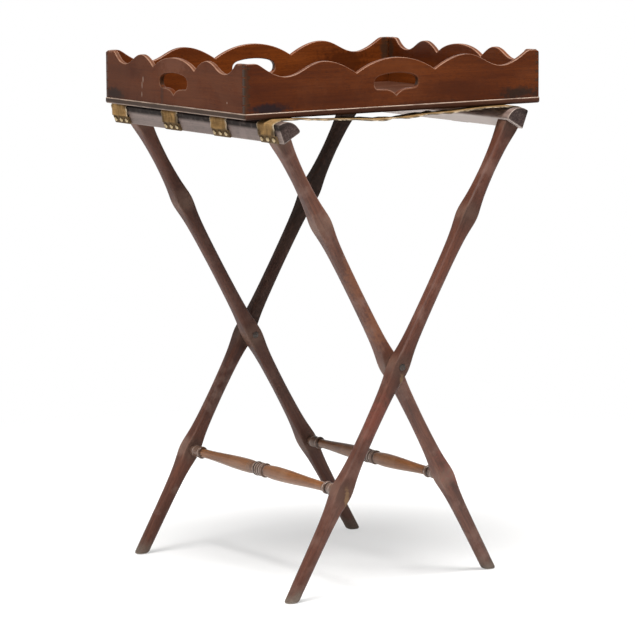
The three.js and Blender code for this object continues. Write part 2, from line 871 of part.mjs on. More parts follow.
// A screw standing on its head at the underside of the base, or the hole for it.
function screwProfile(grow) {
  const foot = grow ? -overrun : screwRecess;
  return [
    new THREE.Vector2(0, foot),
    new THREE.Vector2(screwHeadRadius + grow, foot),
    new THREE.Vector2(screwHeadRadius + grow, screwRecess),
    new THREE.Vector2(screwShankRadius + grow, screwRecess + screwHeadDepth + grow),
    new THREE.Vector2(screwShankRadius + grow, screwRecess + screwLength - screwTip + grow),
    new THREE.Vector2(0, screwRecess + screwLength + grow),
  ].filter((point, index, all) => !index || !point.equals(all[index - 1]));
}

function screwHoles() {
  return screwPlaces().map(([x, y]) =>
    new THREE.LatheGeometry(screwProfile(boreClearance), screwSides).rotateX(Math.PI / 2).translate(x, y, 0),
  );
}

// The sides are drawn from their own bottom edge, above the base.
function screwHolesInSides() {
  return screwHoles().map((hole) => hole.translate(0, 0, -baseThickness - seatGap));
}

function screw() {
  const body = new THREE.LatheGeometry(screwProfile(0), screwSides).rotateX(Math.PI / 2);
  const low = new THREE.Vector3(-screwHeadRadius - overrun, -screwSlotWidth / 2, -overrun);
  const high = new THREE.Vector3(screwHeadRadius + overrun, screwSlotWidth / 2, screwRecess + screwSlotDepth);
  return without(body, [boxBetween(low, high)]);
}

function tray() {
  const group = new THREE.Group();
  group.position.set(0, trayOffset, trayHeight);
  group.add(part("base_board_wide", baseBoard(-1), trayWood()));
  group.add(part("base_board_narrow", baseBoard(1), trayWood()));
  const sides = new THREE.Group();
  sides.position.z = galleryBottom - trayHeight;
  sides.add(part("side_front", longSide(-1), trayWood()));
  sides.add(part("side_back", longSide(1), trayWood()));
  sides.add(part("side_left", endSide(-1), trayWood()));
  sides.add(part("side_right", endSide(1), trayWood()));
  group.add(sides);
  screwPlaces().forEach(([x, y], index) => {
    const fastener = part(`base_screw_${index + 1}`, screw(), iron());
    fastener.position.set(x, y, 0);
    group.add(fastener);
  });
  return group;
}

const outerFrame = { name: "outer", lean: outerLean, turned: false, legPlace: outerLegPlace, toe: outerToe };
const innerFrame = { name: "inner", lean: innerLean, turned: true, legPlace: innerLegPlace, toe: innerToe };

function pivots() {
  const group = new THREE.Group();
  group.position.set(-standOffset, 0, pivotHeight);
  [
    ["near", -1],
    ["far", 1],
  ].forEach(([name, side]) => {
    group.add(part(`pivot_pin_${name}`, pivotPin(side), iron()));
    group.add(part(`pivot_washer_${name}`, pivotWasher(side), agedBrass()));
  });
  return group;
}

function straps() {
  const group = new THREE.Group();
  strapPlaces().forEach((place, index) => {
    group.add(part(`strap_${index + 1}`, strap(place), webbing()));
  });
  return group;
}

// The rails reach further to the back, and the origin is under the middle of all.
const onFloor = new THREE.Group();
onFloor.position.y = -railOffset;
onFloor.add(crossFrame(outerFrame), crossFrame(innerFrame), pivots(), straps(), tray());

const butlerTray = new THREE.Group();
butlerTray.add(onFloor);

export default butlerTray;
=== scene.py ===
import math
import random

import bmesh
import bpy
from mathutils import Matrix, Vector
from mathutils.geometry import tessellate_polygon


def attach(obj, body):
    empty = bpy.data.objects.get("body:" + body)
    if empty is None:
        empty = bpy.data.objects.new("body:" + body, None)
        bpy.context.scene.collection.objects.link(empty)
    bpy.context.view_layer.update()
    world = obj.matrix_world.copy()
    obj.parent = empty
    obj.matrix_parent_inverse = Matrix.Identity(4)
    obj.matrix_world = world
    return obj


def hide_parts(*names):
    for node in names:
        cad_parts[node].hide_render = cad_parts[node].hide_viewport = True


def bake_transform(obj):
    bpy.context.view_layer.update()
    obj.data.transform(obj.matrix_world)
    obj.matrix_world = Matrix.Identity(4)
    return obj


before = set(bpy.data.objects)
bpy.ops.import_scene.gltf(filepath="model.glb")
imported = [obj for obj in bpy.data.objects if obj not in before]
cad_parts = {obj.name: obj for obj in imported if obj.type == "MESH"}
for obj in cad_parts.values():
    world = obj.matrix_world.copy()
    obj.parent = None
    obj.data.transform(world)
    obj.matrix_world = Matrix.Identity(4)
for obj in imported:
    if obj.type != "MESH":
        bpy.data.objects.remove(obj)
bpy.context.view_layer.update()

mm = 0.001
chance = random.Random(7)


# Small helpers for shader nodes

def fill(tree, node, inputs):
    for name, value in inputs.items():
        socket = node.inputs[name]
        if isinstance(value, bpy.types.NodeSocket):
            tree.links.new(value, socket)
        elif socket.type == "RGBA":
            socket.default_value = (*value, 1.0)
        else:
            socket.default_value = value


def addNode(tree, kind, inputs=None, **settings):
    node = tree.nodes.new("ShaderNode" + kind)
    for name, value in settings.items():
        setattr(node, name, value)
    fill(tree, node, inputs or {})
    return node.outputs


def maths(tree, operation, first, second=0.0, clamp=False):
    return addNode(tree, "Math", {0: first, 1: second}, operation=operation, use_clamp=clamp)[0]


def times(tree, first, second):
    return maths(tree, "MULTIPLY", first, second)


def plusPart(tree, value, mask, share):
    return maths(tree, "ADD", value, times(tree, mask, share))


def vectorMaths(tree, operation, inputs):
    return addNode(tree, "VectorMath", inputs, operation=operation)


def remap(tree, value, low, high, toLow=0.0, toHigh=1.0, kind="LINEAR"):
    inputs = {"Value": value, "From Min": low, "From Max": high, "To Min": toLow, "To Max": toHigh}
    return addNode(tree, "MapRange", inputs, interpolation_type=kind)["Result"]


def mixColours(tree, share, first, second):
    inputs = {0: share, 6: first, 7: second}
    return addNode(tree, "Mix", inputs, data_type="RGBA", clamp_factor=True)[2]


def stretched(tree, vector, scale):
    return addNode(tree, "Mapping", {"Vector": vector, "Scale": scale})["Vector"]


def noise(tree, vector, scale, detail=2.0, roughness=0.5, output="Fac"):
    inputs = {"Vector": vector, "Scale": scale, "Detail": detail, "Roughness": roughness}
    return addNode(tree, "TexNoise", inputs)[output]


def bump(tree, height, strength, distance, under=None):
    inputs = {"Height": height, "Strength": strength, "Distance": distance}
    if under is not None:
        inputs["Normal"] = under
    return addNode(tree, "Bump", inputs)["Normal"]


def attribute(tree, name, output="Fac"):
    return addNode(tree, "Attribute", attribute_name=name)[output]


def newGroup(name, inputs, outputs):
    group = bpy.data.node_groups.new(name, "ShaderNodeTree")
    for label, value in inputs.items():
        kind = "NodeSocketFloat" if isinstance(value, float) else "NodeSocketVector"
        group.interface.new_socket(label, in_out="INPUT", socket_type=kind).default_value = value
    for label in outputs:
        group.interface.new_socket(label, in_out="OUTPUT", socket_type="NodeSocketFloat")
    return group, group.nodes.new("NodeGroupInput").outputs, group.nodes.new("NodeGroupOutput")


def useGroup(tree, group, inputs):
    return addNode(tree, "Group", inputs, node_tree=group)


def newMaterial(name):
    material = bpy.data.materials.new(name)
    material.use_nodes = True
    tree = material.node_tree
    tree.nodes.clear()
    shader = tree.nodes.new("ShaderNodeBsdfPrincipled")
    output = tree.nodes.new("ShaderNodeOutputMaterial")
    tree.links.new(shader.outputs[0], output.inputs["Surface"])
    return material, tree, shader


# Shader node groups

def makeGrainGroup():
    # The vector's X runs along the grain, in metres.
    inputs = {"Vector": (0, 0, 0), "Figure": 12.0, "Fineness": 220.0, "Wander": 0.006}
    tree, given, out = newGroup("woodGrain", inputs, ("Tone", "Streaks", "Pores", "Height"))
    drift = noise(tree, given["Vector"], 9.0, 1.0, output="Color")
    centred = vectorMaths(tree, "SUBTRACT", {0: drift, 1: (0.5, 0.5, 0.5)})[0]
    shift = vectorMaths(tree, "SCALE", {0: centred, "Scale": given["Wander"]})[0]
    moved = vectorMaths(tree, "ADD", {0: given["Vector"], 1: shift})[0]
    tone = noise(tree, stretched(tree, moved, (0.16, 1, 1)), given["Figure"], 3.0, 0.55)
    streaks = noise(tree, stretched(tree, moved, (0.035, 1, 1)), given["Fineness"], 3.0, 0.65)
    dashes = noise(tree, stretched(tree, moved, (0.09, 1, 1)), 1500.0, 1.0, 0.4)
    pores = remap(tree, dashes, 0.58, 0.7)
    fill(tree, out, {
        "Tone": remap(tree, tone, 0.3, 0.7), "Streaks": remap(tree, streaks, 0.32, 0.68), "Pores": pores,
        "Height": maths(tree, "SUBTRACT", times(tree, streaks, 0.35), times(tree, pores, 0.5)),
    })
    return tree


def makeWearGroup():
    inputs = {"Vector": (0, 0, 0), "Edge": 0.0, "Amount": 0.5, "Patches": 45.0}
    tree, given, out = newGroup("edgeWear", inputs, ("Mask",))
    patches = remap(tree, noise(tree, given["Vector"], given["Patches"], 4.0, 0.6), 0.25, 0.55)
    broken = plusPart(tree, patches, noise(tree, given["Vector"], 700.0, 2.0, 0.6), 0.4)
    rubbed = maths(tree, "MULTIPLY", times(tree, broken, given["Edge"]), given["Amount"], True)
    fill(tree, out, {"Mask": rubbed})
    return tree


def makeCloudyPatchesGroup():
    tree, given, out = newGroup("cloudyPatches", {"Vector": (0, 0, 0), "Scale": 22.0, "Cover": 0.5}, ("Mask",))
    clouds = noise(tree, given["Vector"], given["Scale"], 5.0, 0.6)
    edge = maths(tree, "SUBTRACT", 0.75, times(tree, given["Cover"], 0.5))
    lifted = maths(tree, "DIVIDE", maths(tree, "SUBTRACT", clouds, edge), 0.16, True)
    fill(tree, out, {"Mask": lifted})
    return tree


def makeSpotGroup():
    # A soft mark round a place, with a ragged edge. Place and Size are in the vector's own metres.
    inputs = {"Vector": (0, 0, 0), "Place": (0, 0, 0), "Size": (0.02, 0.02, 0.02), "Ragged": 0.5}
    tree, given, out = newGroup("softSpot", inputs, ("Mask",))
    away = vectorMaths(tree, "SUBTRACT", {0: given["Vector"], 1: given["Place"]})[0]
    share = vectorMaths(tree, "DIVIDE", {0: away, 1: given["Size"]})[0]
    size = vectorMaths(tree, "LENGTH", {0: share})["Value"]
    rough = maths(tree, "SUBTRACT", noise(tree, given["Vector"], 120.0, 4.0, 0.6), 0.5)
    total = plusPart(tree, size, times(tree, rough, given["Ragged"]), 2.5)
    fill(tree, out, {"Mask": remap(tree, total, 1.0, 0.35, kind="SMOOTHSTEP")})
    return tree


def makeWeaveGroup():
    # The vector's X runs across the webbing and its Y along it, in metres.
    inputs = {"Vector": (0, 0, 0), "Warp Pitch": 0.0012, "Weft Pitch": 0.0016}
    tree, given, out = newGroup("webbingWeave", inputs, ("Yarn", "Height", "Streaks"))
    parts = addNode(tree, "SeparateXYZ", {0: given["Vector"]})
    across = maths(tree, "DIVIDE", times(tree, parts["X"], 2 * math.pi), given["Warp Pitch"])
    along = maths(tree, "DIVIDE", times(tree, parts["Y"], 2 * math.pi), given["Weft Pitch"])
    warp = maths(tree, "SINE", across)
    weft = maths(tree, "SINE", plusPart(tree, along, maths(tree, "SIGN", warp), math.pi / 2))
    over = maths(tree, "ADD", times(tree, weft, 0.5), 0.5)
    yarn = times(tree, maths(tree, "ABSOLUTE", warp), over)
    hairs = noise(tree, stretched(tree, given["Vector"], (1, 0.06, 1)), 650.0, 3.0, 0.7)
    height = plusPart(tree, yarn, hairs, 0.5)
    fill(tree, out, {"Yarn": yarn, "Height": height, "Streaks": remap(tree, hairs, 0.3, 0.7)})
    return tree


woodGrain, edgeWear, cloudyPatches = makeGrainGroup(), makeWearGroup(), makeCloudyPatchesGroup()
softSpot, webbingWeave = makeSpotGroup(), makeWeaveGroup()


# Wood

duller = {"dustAndSheen": 0.08, "wear": 0.15, "dirt": 0.4, "scuff": 0.3}  # how much rougher each layer makes the wood


def makeWood(name, look):
    material, tree, shader = newMaterial(name)
    at = attribute(tree, "grainAt", "Vector")
    here = addNode(tree, "TexCoord")
    grain = useGroup(tree, woodGrain, {"Vector": at, **look["grain"]})
    dustAndSheen = useGroup(tree, cloudyPatches, {"Vector": at, "Scale": look["hazeScale"], "Cover": look["hazeCover"]})
    rubbing = {"Edge": attribute(tree, "edge"), "Amount": look["wearShare"], "Patches": look["wearPatches"]}
    wear = useGroup(tree, edgeWear, {"Vector": at, **rubbing})
    colour = mixColours(tree, grain["Tone"], look["dark"], look["light"])

    def lay(mask, key):  # a further layer over the colour so far
        return mixColours(tree, times(tree, mask, look[key + "Share"]), colour, look[key])

    colour = lay(grain["Streaks"], "streak")
    colour = lay(grain["Pores"], "pore")
    # a greyish film in patches: partly dust, partly a painted sheen
    colour = lay(dustAndSheen["Mask"], "dustAndSheen")
    if "endAxis" in look:  # end grain is darker and duller
        facing = vectorMaths(tree, "DOT_PRODUCT", {0: here["Normal"], 1: look["endAxis"]})["Value"]
        ends = remap(tree, maths(tree, "ABSOLUTE", facing), 0.6, 0.9)
        speck = remap(tree, noise(tree, at, 380.0, 4.0, 0.75), 0.35, 0.55, 0.6, 1.0)
        colour = lay(times(tree, ends, speck), "end")
    # pale edges: partly rubbed, and on the tray's edges and the base's rim partly a painted highlight
    colour = mixColours(tree, wear["Mask"], colour, look["wear"])
    rough = remap(tree, grain["Tone"], 0.0, 1.0, *look["gloss"])
    rough = plusPart(tree, rough, dustAndSheen["Mask"], duller["dustAndSheen"])
    rough = plusPart(tree, rough, wear["Mask"], duller["wear"])
    if "under" in look:  # painted reflection of the pale floor: faces turned downwards are paler
        upward = addNode(tree, "SeparateXYZ", {0: here["Normal"]})["Z"]
        colour = lay(remap(tree, upward, -0.2, -0.75, kind="SMOOTHSTEP"), "under")
    if "shade" in look:  # painted shade and shadow stored on the mesh, darker and duller: the tray's shadow, facets turned from the light, the base's lower rim
        uneven = remap(tree, noise(tree, at, 90.0, 3.0), 0.2, 0.5, 0.7, 1.0)
        sooty = times(tree, attribute(tree, "sooty"), uneven)
        colour = mixColours(tree, sooty, colour, look["shade"])
        rough = plusPart(tree, rough, sooty, duller["dirt"])
    for place, size, share, ragged, tint in look.get("marks", ()):
        spot = {"Vector": here["Object"], "Place": place, "Size": size, "Ragged": ragged}
        mark = useGroup(tree, softSpot, spot)
        colour = mixColours(tree, times(tree, mark["Mask"], share), colour, tint)
    if "foot" in look:  # the feet are scuffed and grey
        foot, height = look["foot"], attribute(tree, "aboveFloor")
        ragged = plusPart(tree, height, noise(tree, at, 60.0, 4.0), foot["ragged"])
        scuffed = remap(tree, ragged, foot["to"], foot["from"], kind="SMOOTHSTEP")
        speckle = remap(tree, noise(tree, at, 260.0, 3.0, 0.7), 0.25, 0.6, 0.55, 1.0)
        colour = mixColours(tree, times(tree, scuffed, speckle), colour, foot["colour"])
        rough = plusPart(tree, rough, scuffed, duller["scuff"])
        rim = remap(tree, height, 0.0028, 0.0004)
        colour = mixColours(tree, times(tree, rim, 0.7), colour, foot["rim"])
    if "band" in look:  # turned parts: a dull band, dark grooves, and pale crests, partly rubbed and partly a painted highlight
        cloud = maths(tree, "SUBTRACT", noise(tree, at, 150.0, 3.0), 0.5)
        colour = lay(remap(tree, plusPart(tree, attribute(tree, "band"), cloud, 0.7), 0.3, 0.75), "band")
        colour = lay(attribute(tree, "groove"), "groove")
        crests = remap(tree, noise(tree, at, 220.0, 3.0), 0.35, 0.6)
        colour = lay(times(tree, attribute(tree, "paleRing"), crests), "ring")
    waveScale, waveHeight = look["waves"]
    waves = noise(tree, stretched(tree, at, (0.3, 1, 1)), waveScale, 2.0)
    uneven = bump(tree, waves, 1.0, waveHeight)
    fill(tree, shader, {
        "Base Color": colour, "Roughness": rough, "Specular IOR Level": look["specular"],
        "Normal": bump(tree, grain["Height"], look["bump"], 0.0002, uneven),
    })
    return material


# the shade colour is painted shade, laid where the mesh stores it; the greyish film is partly a painted sheen
standLook = {
    "grain": {"Figure": 26.0, "Fineness": 420.0, "Wander": 0.004},
    "dark": (0.055, 0.0165, 0.008), "light": (0.19, 0.06, 0.03),
    "streak": (0.04, 0.012, 0.007), "streakShare": 0.6, "pore": (0.015, 0.006, 0.005), "poreShare": 0.5,
    "dustAndSheen": (0.2, 0.11, 0.085), "hazeScale": 24.0, "hazeCover": 0.5, "dustAndSheenShare": 0.35,
    "wear": (0.34, 0.22, 0.165), "wearShare": 0.38, "wearPatches": 38.0, "shade": (0.032, 0.012, 0.007),
    "gloss": (0.54, 0.45), "specular": 0.5, "waves": (34.0, 0.0012), "bump": 0.5,
}
scuffs = {
    "from": 0.012, "to": 0.045, "ragged": 0.03, "colour": (0.15, 0.125, 0.1), "rim": (0.42, 0.37, 0.31),
}
legLook = {**standLook, "foot": scuffs}
legWood = makeWood("legWood", {
    **legLook, "light": (0.155, 0.053, 0.031), "wearShare": 0.22, "specular": 0.36,
    "marks": (  # place, size, share, raggedness and colour
        ((-0.125, -0.2575, 0.156), (0.006, 0.012, 0.036), 0.45, 0.6, (0.3, 0.18, 0.08)),
        ((-0.0125, -0.2575, 0.345), (0.006, 0.012, 0.03), 0.4, 0.6, (0.3, 0.19, 0.09)),
        ((-0.06, -0.26, 0.29), (0.05, 0.03, 0.05), 0.35, 0.9, (0.2, 0.05, 0.032)),
        ((-0.158, -0.2575, 0.188), (0.014, 0.02, 0.022), 0.45, 0.7, (0.07, 0.05, 0.035)),
    ),
})
# a paler copy with more greyish film for the inner near leg: partly a painted sheen, with its own warm marks
innerLegWood = makeWood("innerLegWood", {
    **legLook, "light": (0.23, 0.08, 0.042), "dustAndSheen": (0.24, 0.14, 0.11), "dustAndSheenShare": 0.45,
    "marks": (
        ((0.12, -0.24, 0.2), (0.05, 0.06, 0.06), 0.35, 0.9, (0.21, 0.05, 0.035)),
        ((-0.085, -0.235, 0.54), (0.035, 0.02, 0.08), 0.5, 0.8, (0.2, 0.068, 0.024)),
        ((-0.045, -0.235, 0.45), (0.03, 0.02, 0.05), 0.5, 0.9, (0.23, 0.08, 0.03)),
    ),
})
# the outer far leg: its shade colour paints the tray's shadow over the leg above its pivot
darkLegWood = makeWood("darkLegWood", {
    **legLook, "dustAndSheen": (0.3, 0.2, 0.16), "specular": 0.4, "shade": (0.024, 0.012, 0.008),
})
# a darker copy of the leg wood for the inner far leg: painted shade, as it stands behind and under the tray
farLegWood = makeWood("farLegWood", {
    **legLook, "light": (0.15, 0.052, 0.029), "dustAndSheen": (0.15, 0.085, 0.066), "specular": 0.35,
})
# rail wood: its pale mauve-grey is largely a painted reflection of the floor, with the specular kept low; the
# shade colour paints the tray's shadow along the top, the under colour the floor's reflection on faces turned
# downwards
railWood = makeWood("railWood", {
    **standLook, "dark": (0.12, 0.078, 0.066), "light": (0.3, 0.22, 0.19),
    "streak": (0.085, 0.052, 0.044), "dustAndSheen": (0.28, 0.215, 0.195), "dustAndSheenShare": 0.45,
    "end": (0.024, 0.013, 0.012), "endShare": 0.95, "endAxis": (0, 1, 0),
    "wear": (0.42, 0.34, 0.29), "wearShare": 0.5, "gloss": (0.42, 0.34), "specular": 0.25,
    "shade": (0.012, 0.007, 0.005), "under": (0.52, 0.45, 0.42), "underShare": 0.7,
})
# the under colour paints the floor's reflection on the undersides, and the ring colour is partly a painted
# highlight on the crests
turnedLook = {
    **standLook, "dark": (0.14, 0.052, 0.017), "light": (0.33, 0.125, 0.035), "streak": (0.1, 0.038, 0.016),
    "dustAndSheen": (0.26, 0.15, 0.09), "hazeScale": 40.0, "dustAndSheenShare": 0.2,
    "wear": (0.42, 0.27, 0.18), "wearShare": 0.3, "gloss": (0.34, 0.26), "waves": (34.0, 0.0004),
    "under": (0.42, 0.28, 0.21), "underShare": 0.35,
    "band": (0.13, 0.08, 0.06), "bandShare": 0.85, "groove": (0.012, 0.006, 0.004), "grooveShare": 0.95,
    "ring": (0.52, 0.41, 0.35), "ringShare": 0.75,
}
del turnedLook["shade"]  # no painted shade is stored on the turned parts
turnedWood = makeWood("turnedWood", turnedLook)
print("stage: shader groups and stand woods")


# Webbing and metals

def makeWebbing():
    look = {
        "base": (0.5, 0.3, 0.115), "shade": (0.24, 0.135, 0.048), "gold": (0.58, 0.34, 0.125),
        "pale": (0.74, 0.6, 0.42), "stain": (0.06, 0.04, 0.02), "edgeFrom": 0.0215, "edgeTo": 0.0255,
    }
    material, tree, shader = newMaterial("webbing")
    at = attribute(tree, "clothAt", "Vector")
    weave = useGroup(tree, webbingWeave, {"Vector": at})
    clouds = useGroup(tree, cloudyPatches, {"Vector": at, "Scale": 45.0, "Cover": 0.55})
    broad = noise(tree, stretched(tree, at, (1, 0.12, 1)), 260.0, 3.0, 0.65)
    colour = mixColours(tree, remap(tree, broad, 0.36, 0.64), look["shade"], look["base"])
    colour = mixColours(tree, remap(tree, noise(tree, at, 60.0), 0.5, 0.7), colour, look["gold"])
    between = times(tree, maths(tree, "SUBTRACT", 1.0, weave["Yarn"]), 0.3)
    colour = mixColours(tree, between, colour, look["shade"])
    colour = mixColours(tree, times(tree, clouds["Mask"], 0.3), colour, look["shade"])
    fromMiddle = maths(tree, "ABSOLUTE", addNode(tree, "SeparateXYZ", {0: at})["X"])
    uneven = maths(tree, "SUBTRACT", noise(tree, at, 110.0, 4.0, 0.65), 0.5)
    edge = remap(tree, plusPart(tree, fromMiddle, uneven, 0.009), look["edgeFrom"], look["edgeTo"])
    edge = times(tree, edge, attribute(tree, "soft"))
    frayed = maths(tree, "MAXIMUM", edge, attribute(tree, "frayed"), True)
    colour = mixColours(tree, frayed, colour, look["pale"])
    blotches = remap(tree, noise(tree, at, 160.0, 3.0), 0.15, 0.5, 0.6, 1.0)
    stain = times(tree, attribute(tree, "stain"), blotches)
    colour = mixColours(tree, times(tree, stain, 0.9), colour, look["stain"])
    fill(tree, shader, {
        "Base Color": colour, "Roughness": remap(tree, weave["Streaks"], 0.0, 1.0, 0.92, 0.8),
        "Normal": bump(tree, weave["Height"], 0.8, 0.0004), "Specular IOR Level": 0.2,
    })
    return material


def makeMetal(name, look):
    material, tree, shader = newMaterial(name)
    at = addNode(tree, "TexCoord")["Object"]
    patches = {"Vector": at, "Scale": look["patchScale"], "Cover": look["tarnish"]}
    tarnish = useGroup(tree, cloudyPatches, patches)["Mask"]
    colour = mixColours(tree, noise(tree, at, 420.0, 3.0), look["dark"], look["light"])
    colour = mixColours(tree, times(tree, tarnish, 0.8), colour, look["tarnished"])
    fill(tree, shader, {
        "Base Color": colour, "Roughness": remap(tree, tarnish, 0.0, 1.0, *look["rough"]),
        "Metallic": remap(tree, tarnish, 0.0, 1.0, 1.0, look["metalLeft"]),
        "Normal": bump(tree, noise(tree, at, 900.0, 3.0, 0.6), look["bump"], 0.0002),
    })
    return material


webbing = makeWebbing()
brass = makeMetal("agedBrass", {
    "dark": (0.38, 0.27, 0.14), "light": (0.64, 0.51, 0.31), "tarnished": (0.13, 0.09, 0.045),
    "patchScale": 190.0, "tarnish": 0.4, "rough": (0.3, 0.55), "metalLeft": 0.5, "bump": 0.3,
})
iron = makeMetal("darkIron", {
    "dark": (0.05, 0.045, 0.042), "light": (0.14, 0.125, 0.115), "tarnished": (0.06, 0.032, 0.02),
    "patchScale": 160.0, "tarnish": 0.55, "rough": (0.42, 0.75), "metalLeft": 0.3, "bump": 0.5,
})
print("stage: webbing and metals")


# Meshes. Builders work in millimetres; newPiece turns them into metres.

def inScene(name, data):
    thing = bpy.data.objects.new(name, data)
    bpy.context.scene.collection.objects.link(thing)
    return thing


def newPiece(name, points, faces, material, place=None, sharp=38, even=False):
    mesh = bpy.data.meshes.new(name)
    mesh.from_pydata([tuple(value * mm for value in point) for point in points], [], faces)
    mesh.update()
    mesh.shade_smooth()
    mesh.set_sharp_from_angle(angle=math.radians(sharp))
    mesh.materials.append(material)
    piece = inScene(name, mesh)
    piece.matrix_world = place or Matrix.Identity(4)
    if even:
        piece.modifiers.new("evenShade", "WEIGHTED_NORMAL").keep_sharp = True
    return piece


def mergeTouching(piece):
    mesh = bmesh.new()
    mesh.from_mesh(piece.data)
    bmesh.ops.remove_doubles(mesh, verts=mesh.verts, dist=2e-6)
    bmesh.ops.dissolve_degenerate(mesh, edges=mesh.edges, dist=2e-6)
    mesh.to_mesh(piece.data)
    mesh.free()


def storeRow(piece, name, values, kind="FLOAT", key="value"):
    piece.data.attributes.new(name, kind, "POINT").data.foreach_set(key, values)


def storeVectors(piece, name, vectors):
    storeRow(piece, name, [value for vector in vectors for value in vector], "FLOAT_VECTOR", "vector")


def storeGrain(piece, along):
    # Grain coordinates: X runs along the wood, and each piece is cut from another place.
    away = Vector([chance.uniform(-3, 3) for _ in range(3)])
    across = Vector((0, 0, 1)) if abs(along[2]) < 0.5 else Vector((1, 0, 0))
    axes = (Vector(along), across, Vector(along).cross(across))
    places = [vertex.co for vertex in piece.data.vertices]
    storeVectors(piece, "grainAt", [[at.dot(axis) + off for axis, off in zip(axes, away)] for at in places])


def settle(piece, body, slotName, node, along=None, **measures):
    # Stores what the material reads, puts the mesh itself in place, ties it to its body and hides the CAD
    # node it replaces.
    if along:
        storeGrain(piece, along)
    for name, measure in measures.items():
        storeRow(piece, name, [measure(vertex.co / mm) for vertex in piece.data.vertices])
    piece.data.transform(piece.matrix_world)
    piece.matrix_world = Matrix.Identity(4)
    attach(piece, body)
    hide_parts(node)


def ringFaces(ringCount, count):
    faces = []
    for ring in range(ringCount - 1):
        for side in range(count):
            a, b = ring * count + side, ring * count + (side + 1) % count
            faces.append((a, b, b + count, a + count))
    return faces


def loftFaces(ringCount, count):
    last = (ringCount - 1) * count
    return ringFaces(ringCount, count) + [tuple(range(count))[::-1], tuple(range(last, last + count))]


def lathePoints(profile, sides):
    # profile is pairs of radius and place along Y
    turns = [2 * math.pi * side / sides for side in range(sides)]
    circle = [(math.sin(turn), math.cos(turn)) for turn in turns]
    return [(radius * x, place, radius * z) for radius, place in profile for x, z in circle]


def clamp01(value):
    return max(0.0, min(1.0, value))


def smooth(value):
    value = clamp01(value)
    return value * value * (3 - 2 * value)


def lerp(first, second, share):
    return first + (second - first) * share


def quarter(steps):
    # sine and cosine along a quarter turn
    turns = [math.pi / 2 * step / steps for step in range(steps + 1)]
    return [(math.sin(turn), math.cos(turn)) for turn in turns]


def drawn(knots, steps):
    # a Bezier curve through its first and last knot
    points = []
    for step in range(steps + 1):
        row = [tuple(knot) for knot in knots]
        while len(row) > 1:
            row = [tuple(lerp(a, b, step / steps) for a, b in zip(p, q)) for p, q in zip(row, row[1:])]
        points.append(row[0])
    return points


def roundedRing(deep, wide, corner, steps, inset=0.0, least=0.3):
    points = []
    halfDeep, halfWide = deep / 2 - inset, wide / 2 - inset
    corner = max(corner - inset, least)
    for index, (signX, signY) in enumerate(((1, 1), (-1, 1), (-1, -1), (1, -1))):
        for step in range(steps + 1):
            turn = math.pi / 2 * (index + step / steps)
            x = signX * (halfDeep - corner) + corner * math.cos(turn)
            points.append((x, signY * (halfWide - corner) + corner * math.sin(turn)))
    return points


# The stand

stand = {"trayHeight": 800, "pivotHeight": 375.3, "offset": 12.2, "middle": -5, "seatGap": 0.3}
outer = {
    "lean": 30.05, "turned": False, "legPlace": 241.0, "toe": math.tan(math.radians(-0.2)),
    "flatShade": 0.5, "body": "outer_frame",
}
inner = {
    "lean": 29.35, "turned": True, "legPlace": 215.0, "toe": math.tan(math.radians(0.8)),
    "flatShade": 0.28, "body": "inner_frame",
}
railShape = {
    "length": 534, "middle": 5, "depth": 32, "inner": 20.5, "outer": 16.5, "taper": 4.2, "cornerRound": 3,
    "crownShare": 0.62, "coarseSteps": 7, "fineSteps": 22, "endRound": 1.6, "toeRound": 5, "flatStep": 2.5,
}
strapShape = {
    "width": 50, "places": (-228, -82.455, 73.889, 241.5), "thickness": 1.8, "sag": 8.5, "endRise": 1,
    "turnedRise": 13, "tackTop": 15.4, "puffEnd": 27, "puff": 1.3, "tackRise": 8, "tackSpacing": 18,
    "endSteps": 6, "turnSteps": 8, "faceSteps": 28, "spanSteps": 120, "acrossSteps": 14, "tacksAcross": 3,
}


def pivotMatrix():
    return Matrix.Translation((-stand["offset"] * mm, stand["middle"] * mm, stand["pivotHeight"] * mm))


def frameMatrix(side):
    lean = math.radians(-side["lean"] if side["turned"] else side["lean"])
    turn = Matrix.Rotation(math.pi if side["turned"] else 0, 4, "Z")
    return pivotMatrix() @ Matrix.Rotation(lean, 4, "Y") @ turn


def railOutline(steps):
    r = railShape
    top, depth = r["outer"] - r["taper"], r["depth"]
    crown = (top - r["cornerRound"], depth)
    handle = crown[0] - r["crownShare"] * (crown[0] + r["inner"])
    corner = drawn(((top, depth - r["cornerRound"]), (top, depth), crown), steps)
    back = drawn((crown, (handle, depth), (-r["inner"], r["crownShare"] * depth), (-r["inner"], 0)), steps)
    return [(-r["inner"], 0), (r["outer"], 0)] + corner + back[1:-1]


for side in (outer, inner):  # how high the rail sits on its legs, so that the tray lies level on both
    lean = math.radians(side["lean"])
    crest = stand["trayHeight"] - strapShape["thickness"] - 2 * stand["seatGap"]
    outline = railOutline(railShape["coarseSteps"])
    rise = max(y * math.cos(lean) - x * math.sin(lean) for x, y in outline)
    side["seat"] = (crest - stand["pivotHeight"] - rise) / math.cos(lean)
    side["footPlace"] = stand["pivotHeight"] / math.cos(lean)


# Legs

legShape = {
    "thin": 22, "foot": 21, "softCorner": 9, "nodeAcross": 24.6, "nodeDeep": 29, "nodeCorner": 1.5,
    "spread": 32, "upperNode": 284, "lowerNode": 230.5, "ringStep": 4.5, "cornerSteps": 6, "footBend": 26,
    "soleRound": 4.6, "soleSteps": 6,
}


def legSection(distance, side):
    s = legShape
    nodes = (-s["lowerNode"], 0, s["upperNode"], side["seat"])
    share = max(1 / (1 + ((distance - node) / s["spread"]) ** 2) for node in nodes)
    taper = clamp01((-s["lowerNode"] - distance) / (side["footPlace"] - s["lowerNode"]))
    thin = lerp(s["thin"], s["foot"], taper)
    ends = ((thin, s["nodeDeep"]), (thin, s["nodeAcross"]), (s["softCorner"], s["nodeCorner"]))
    return [lerp(low, high, share) for low, high in ends]


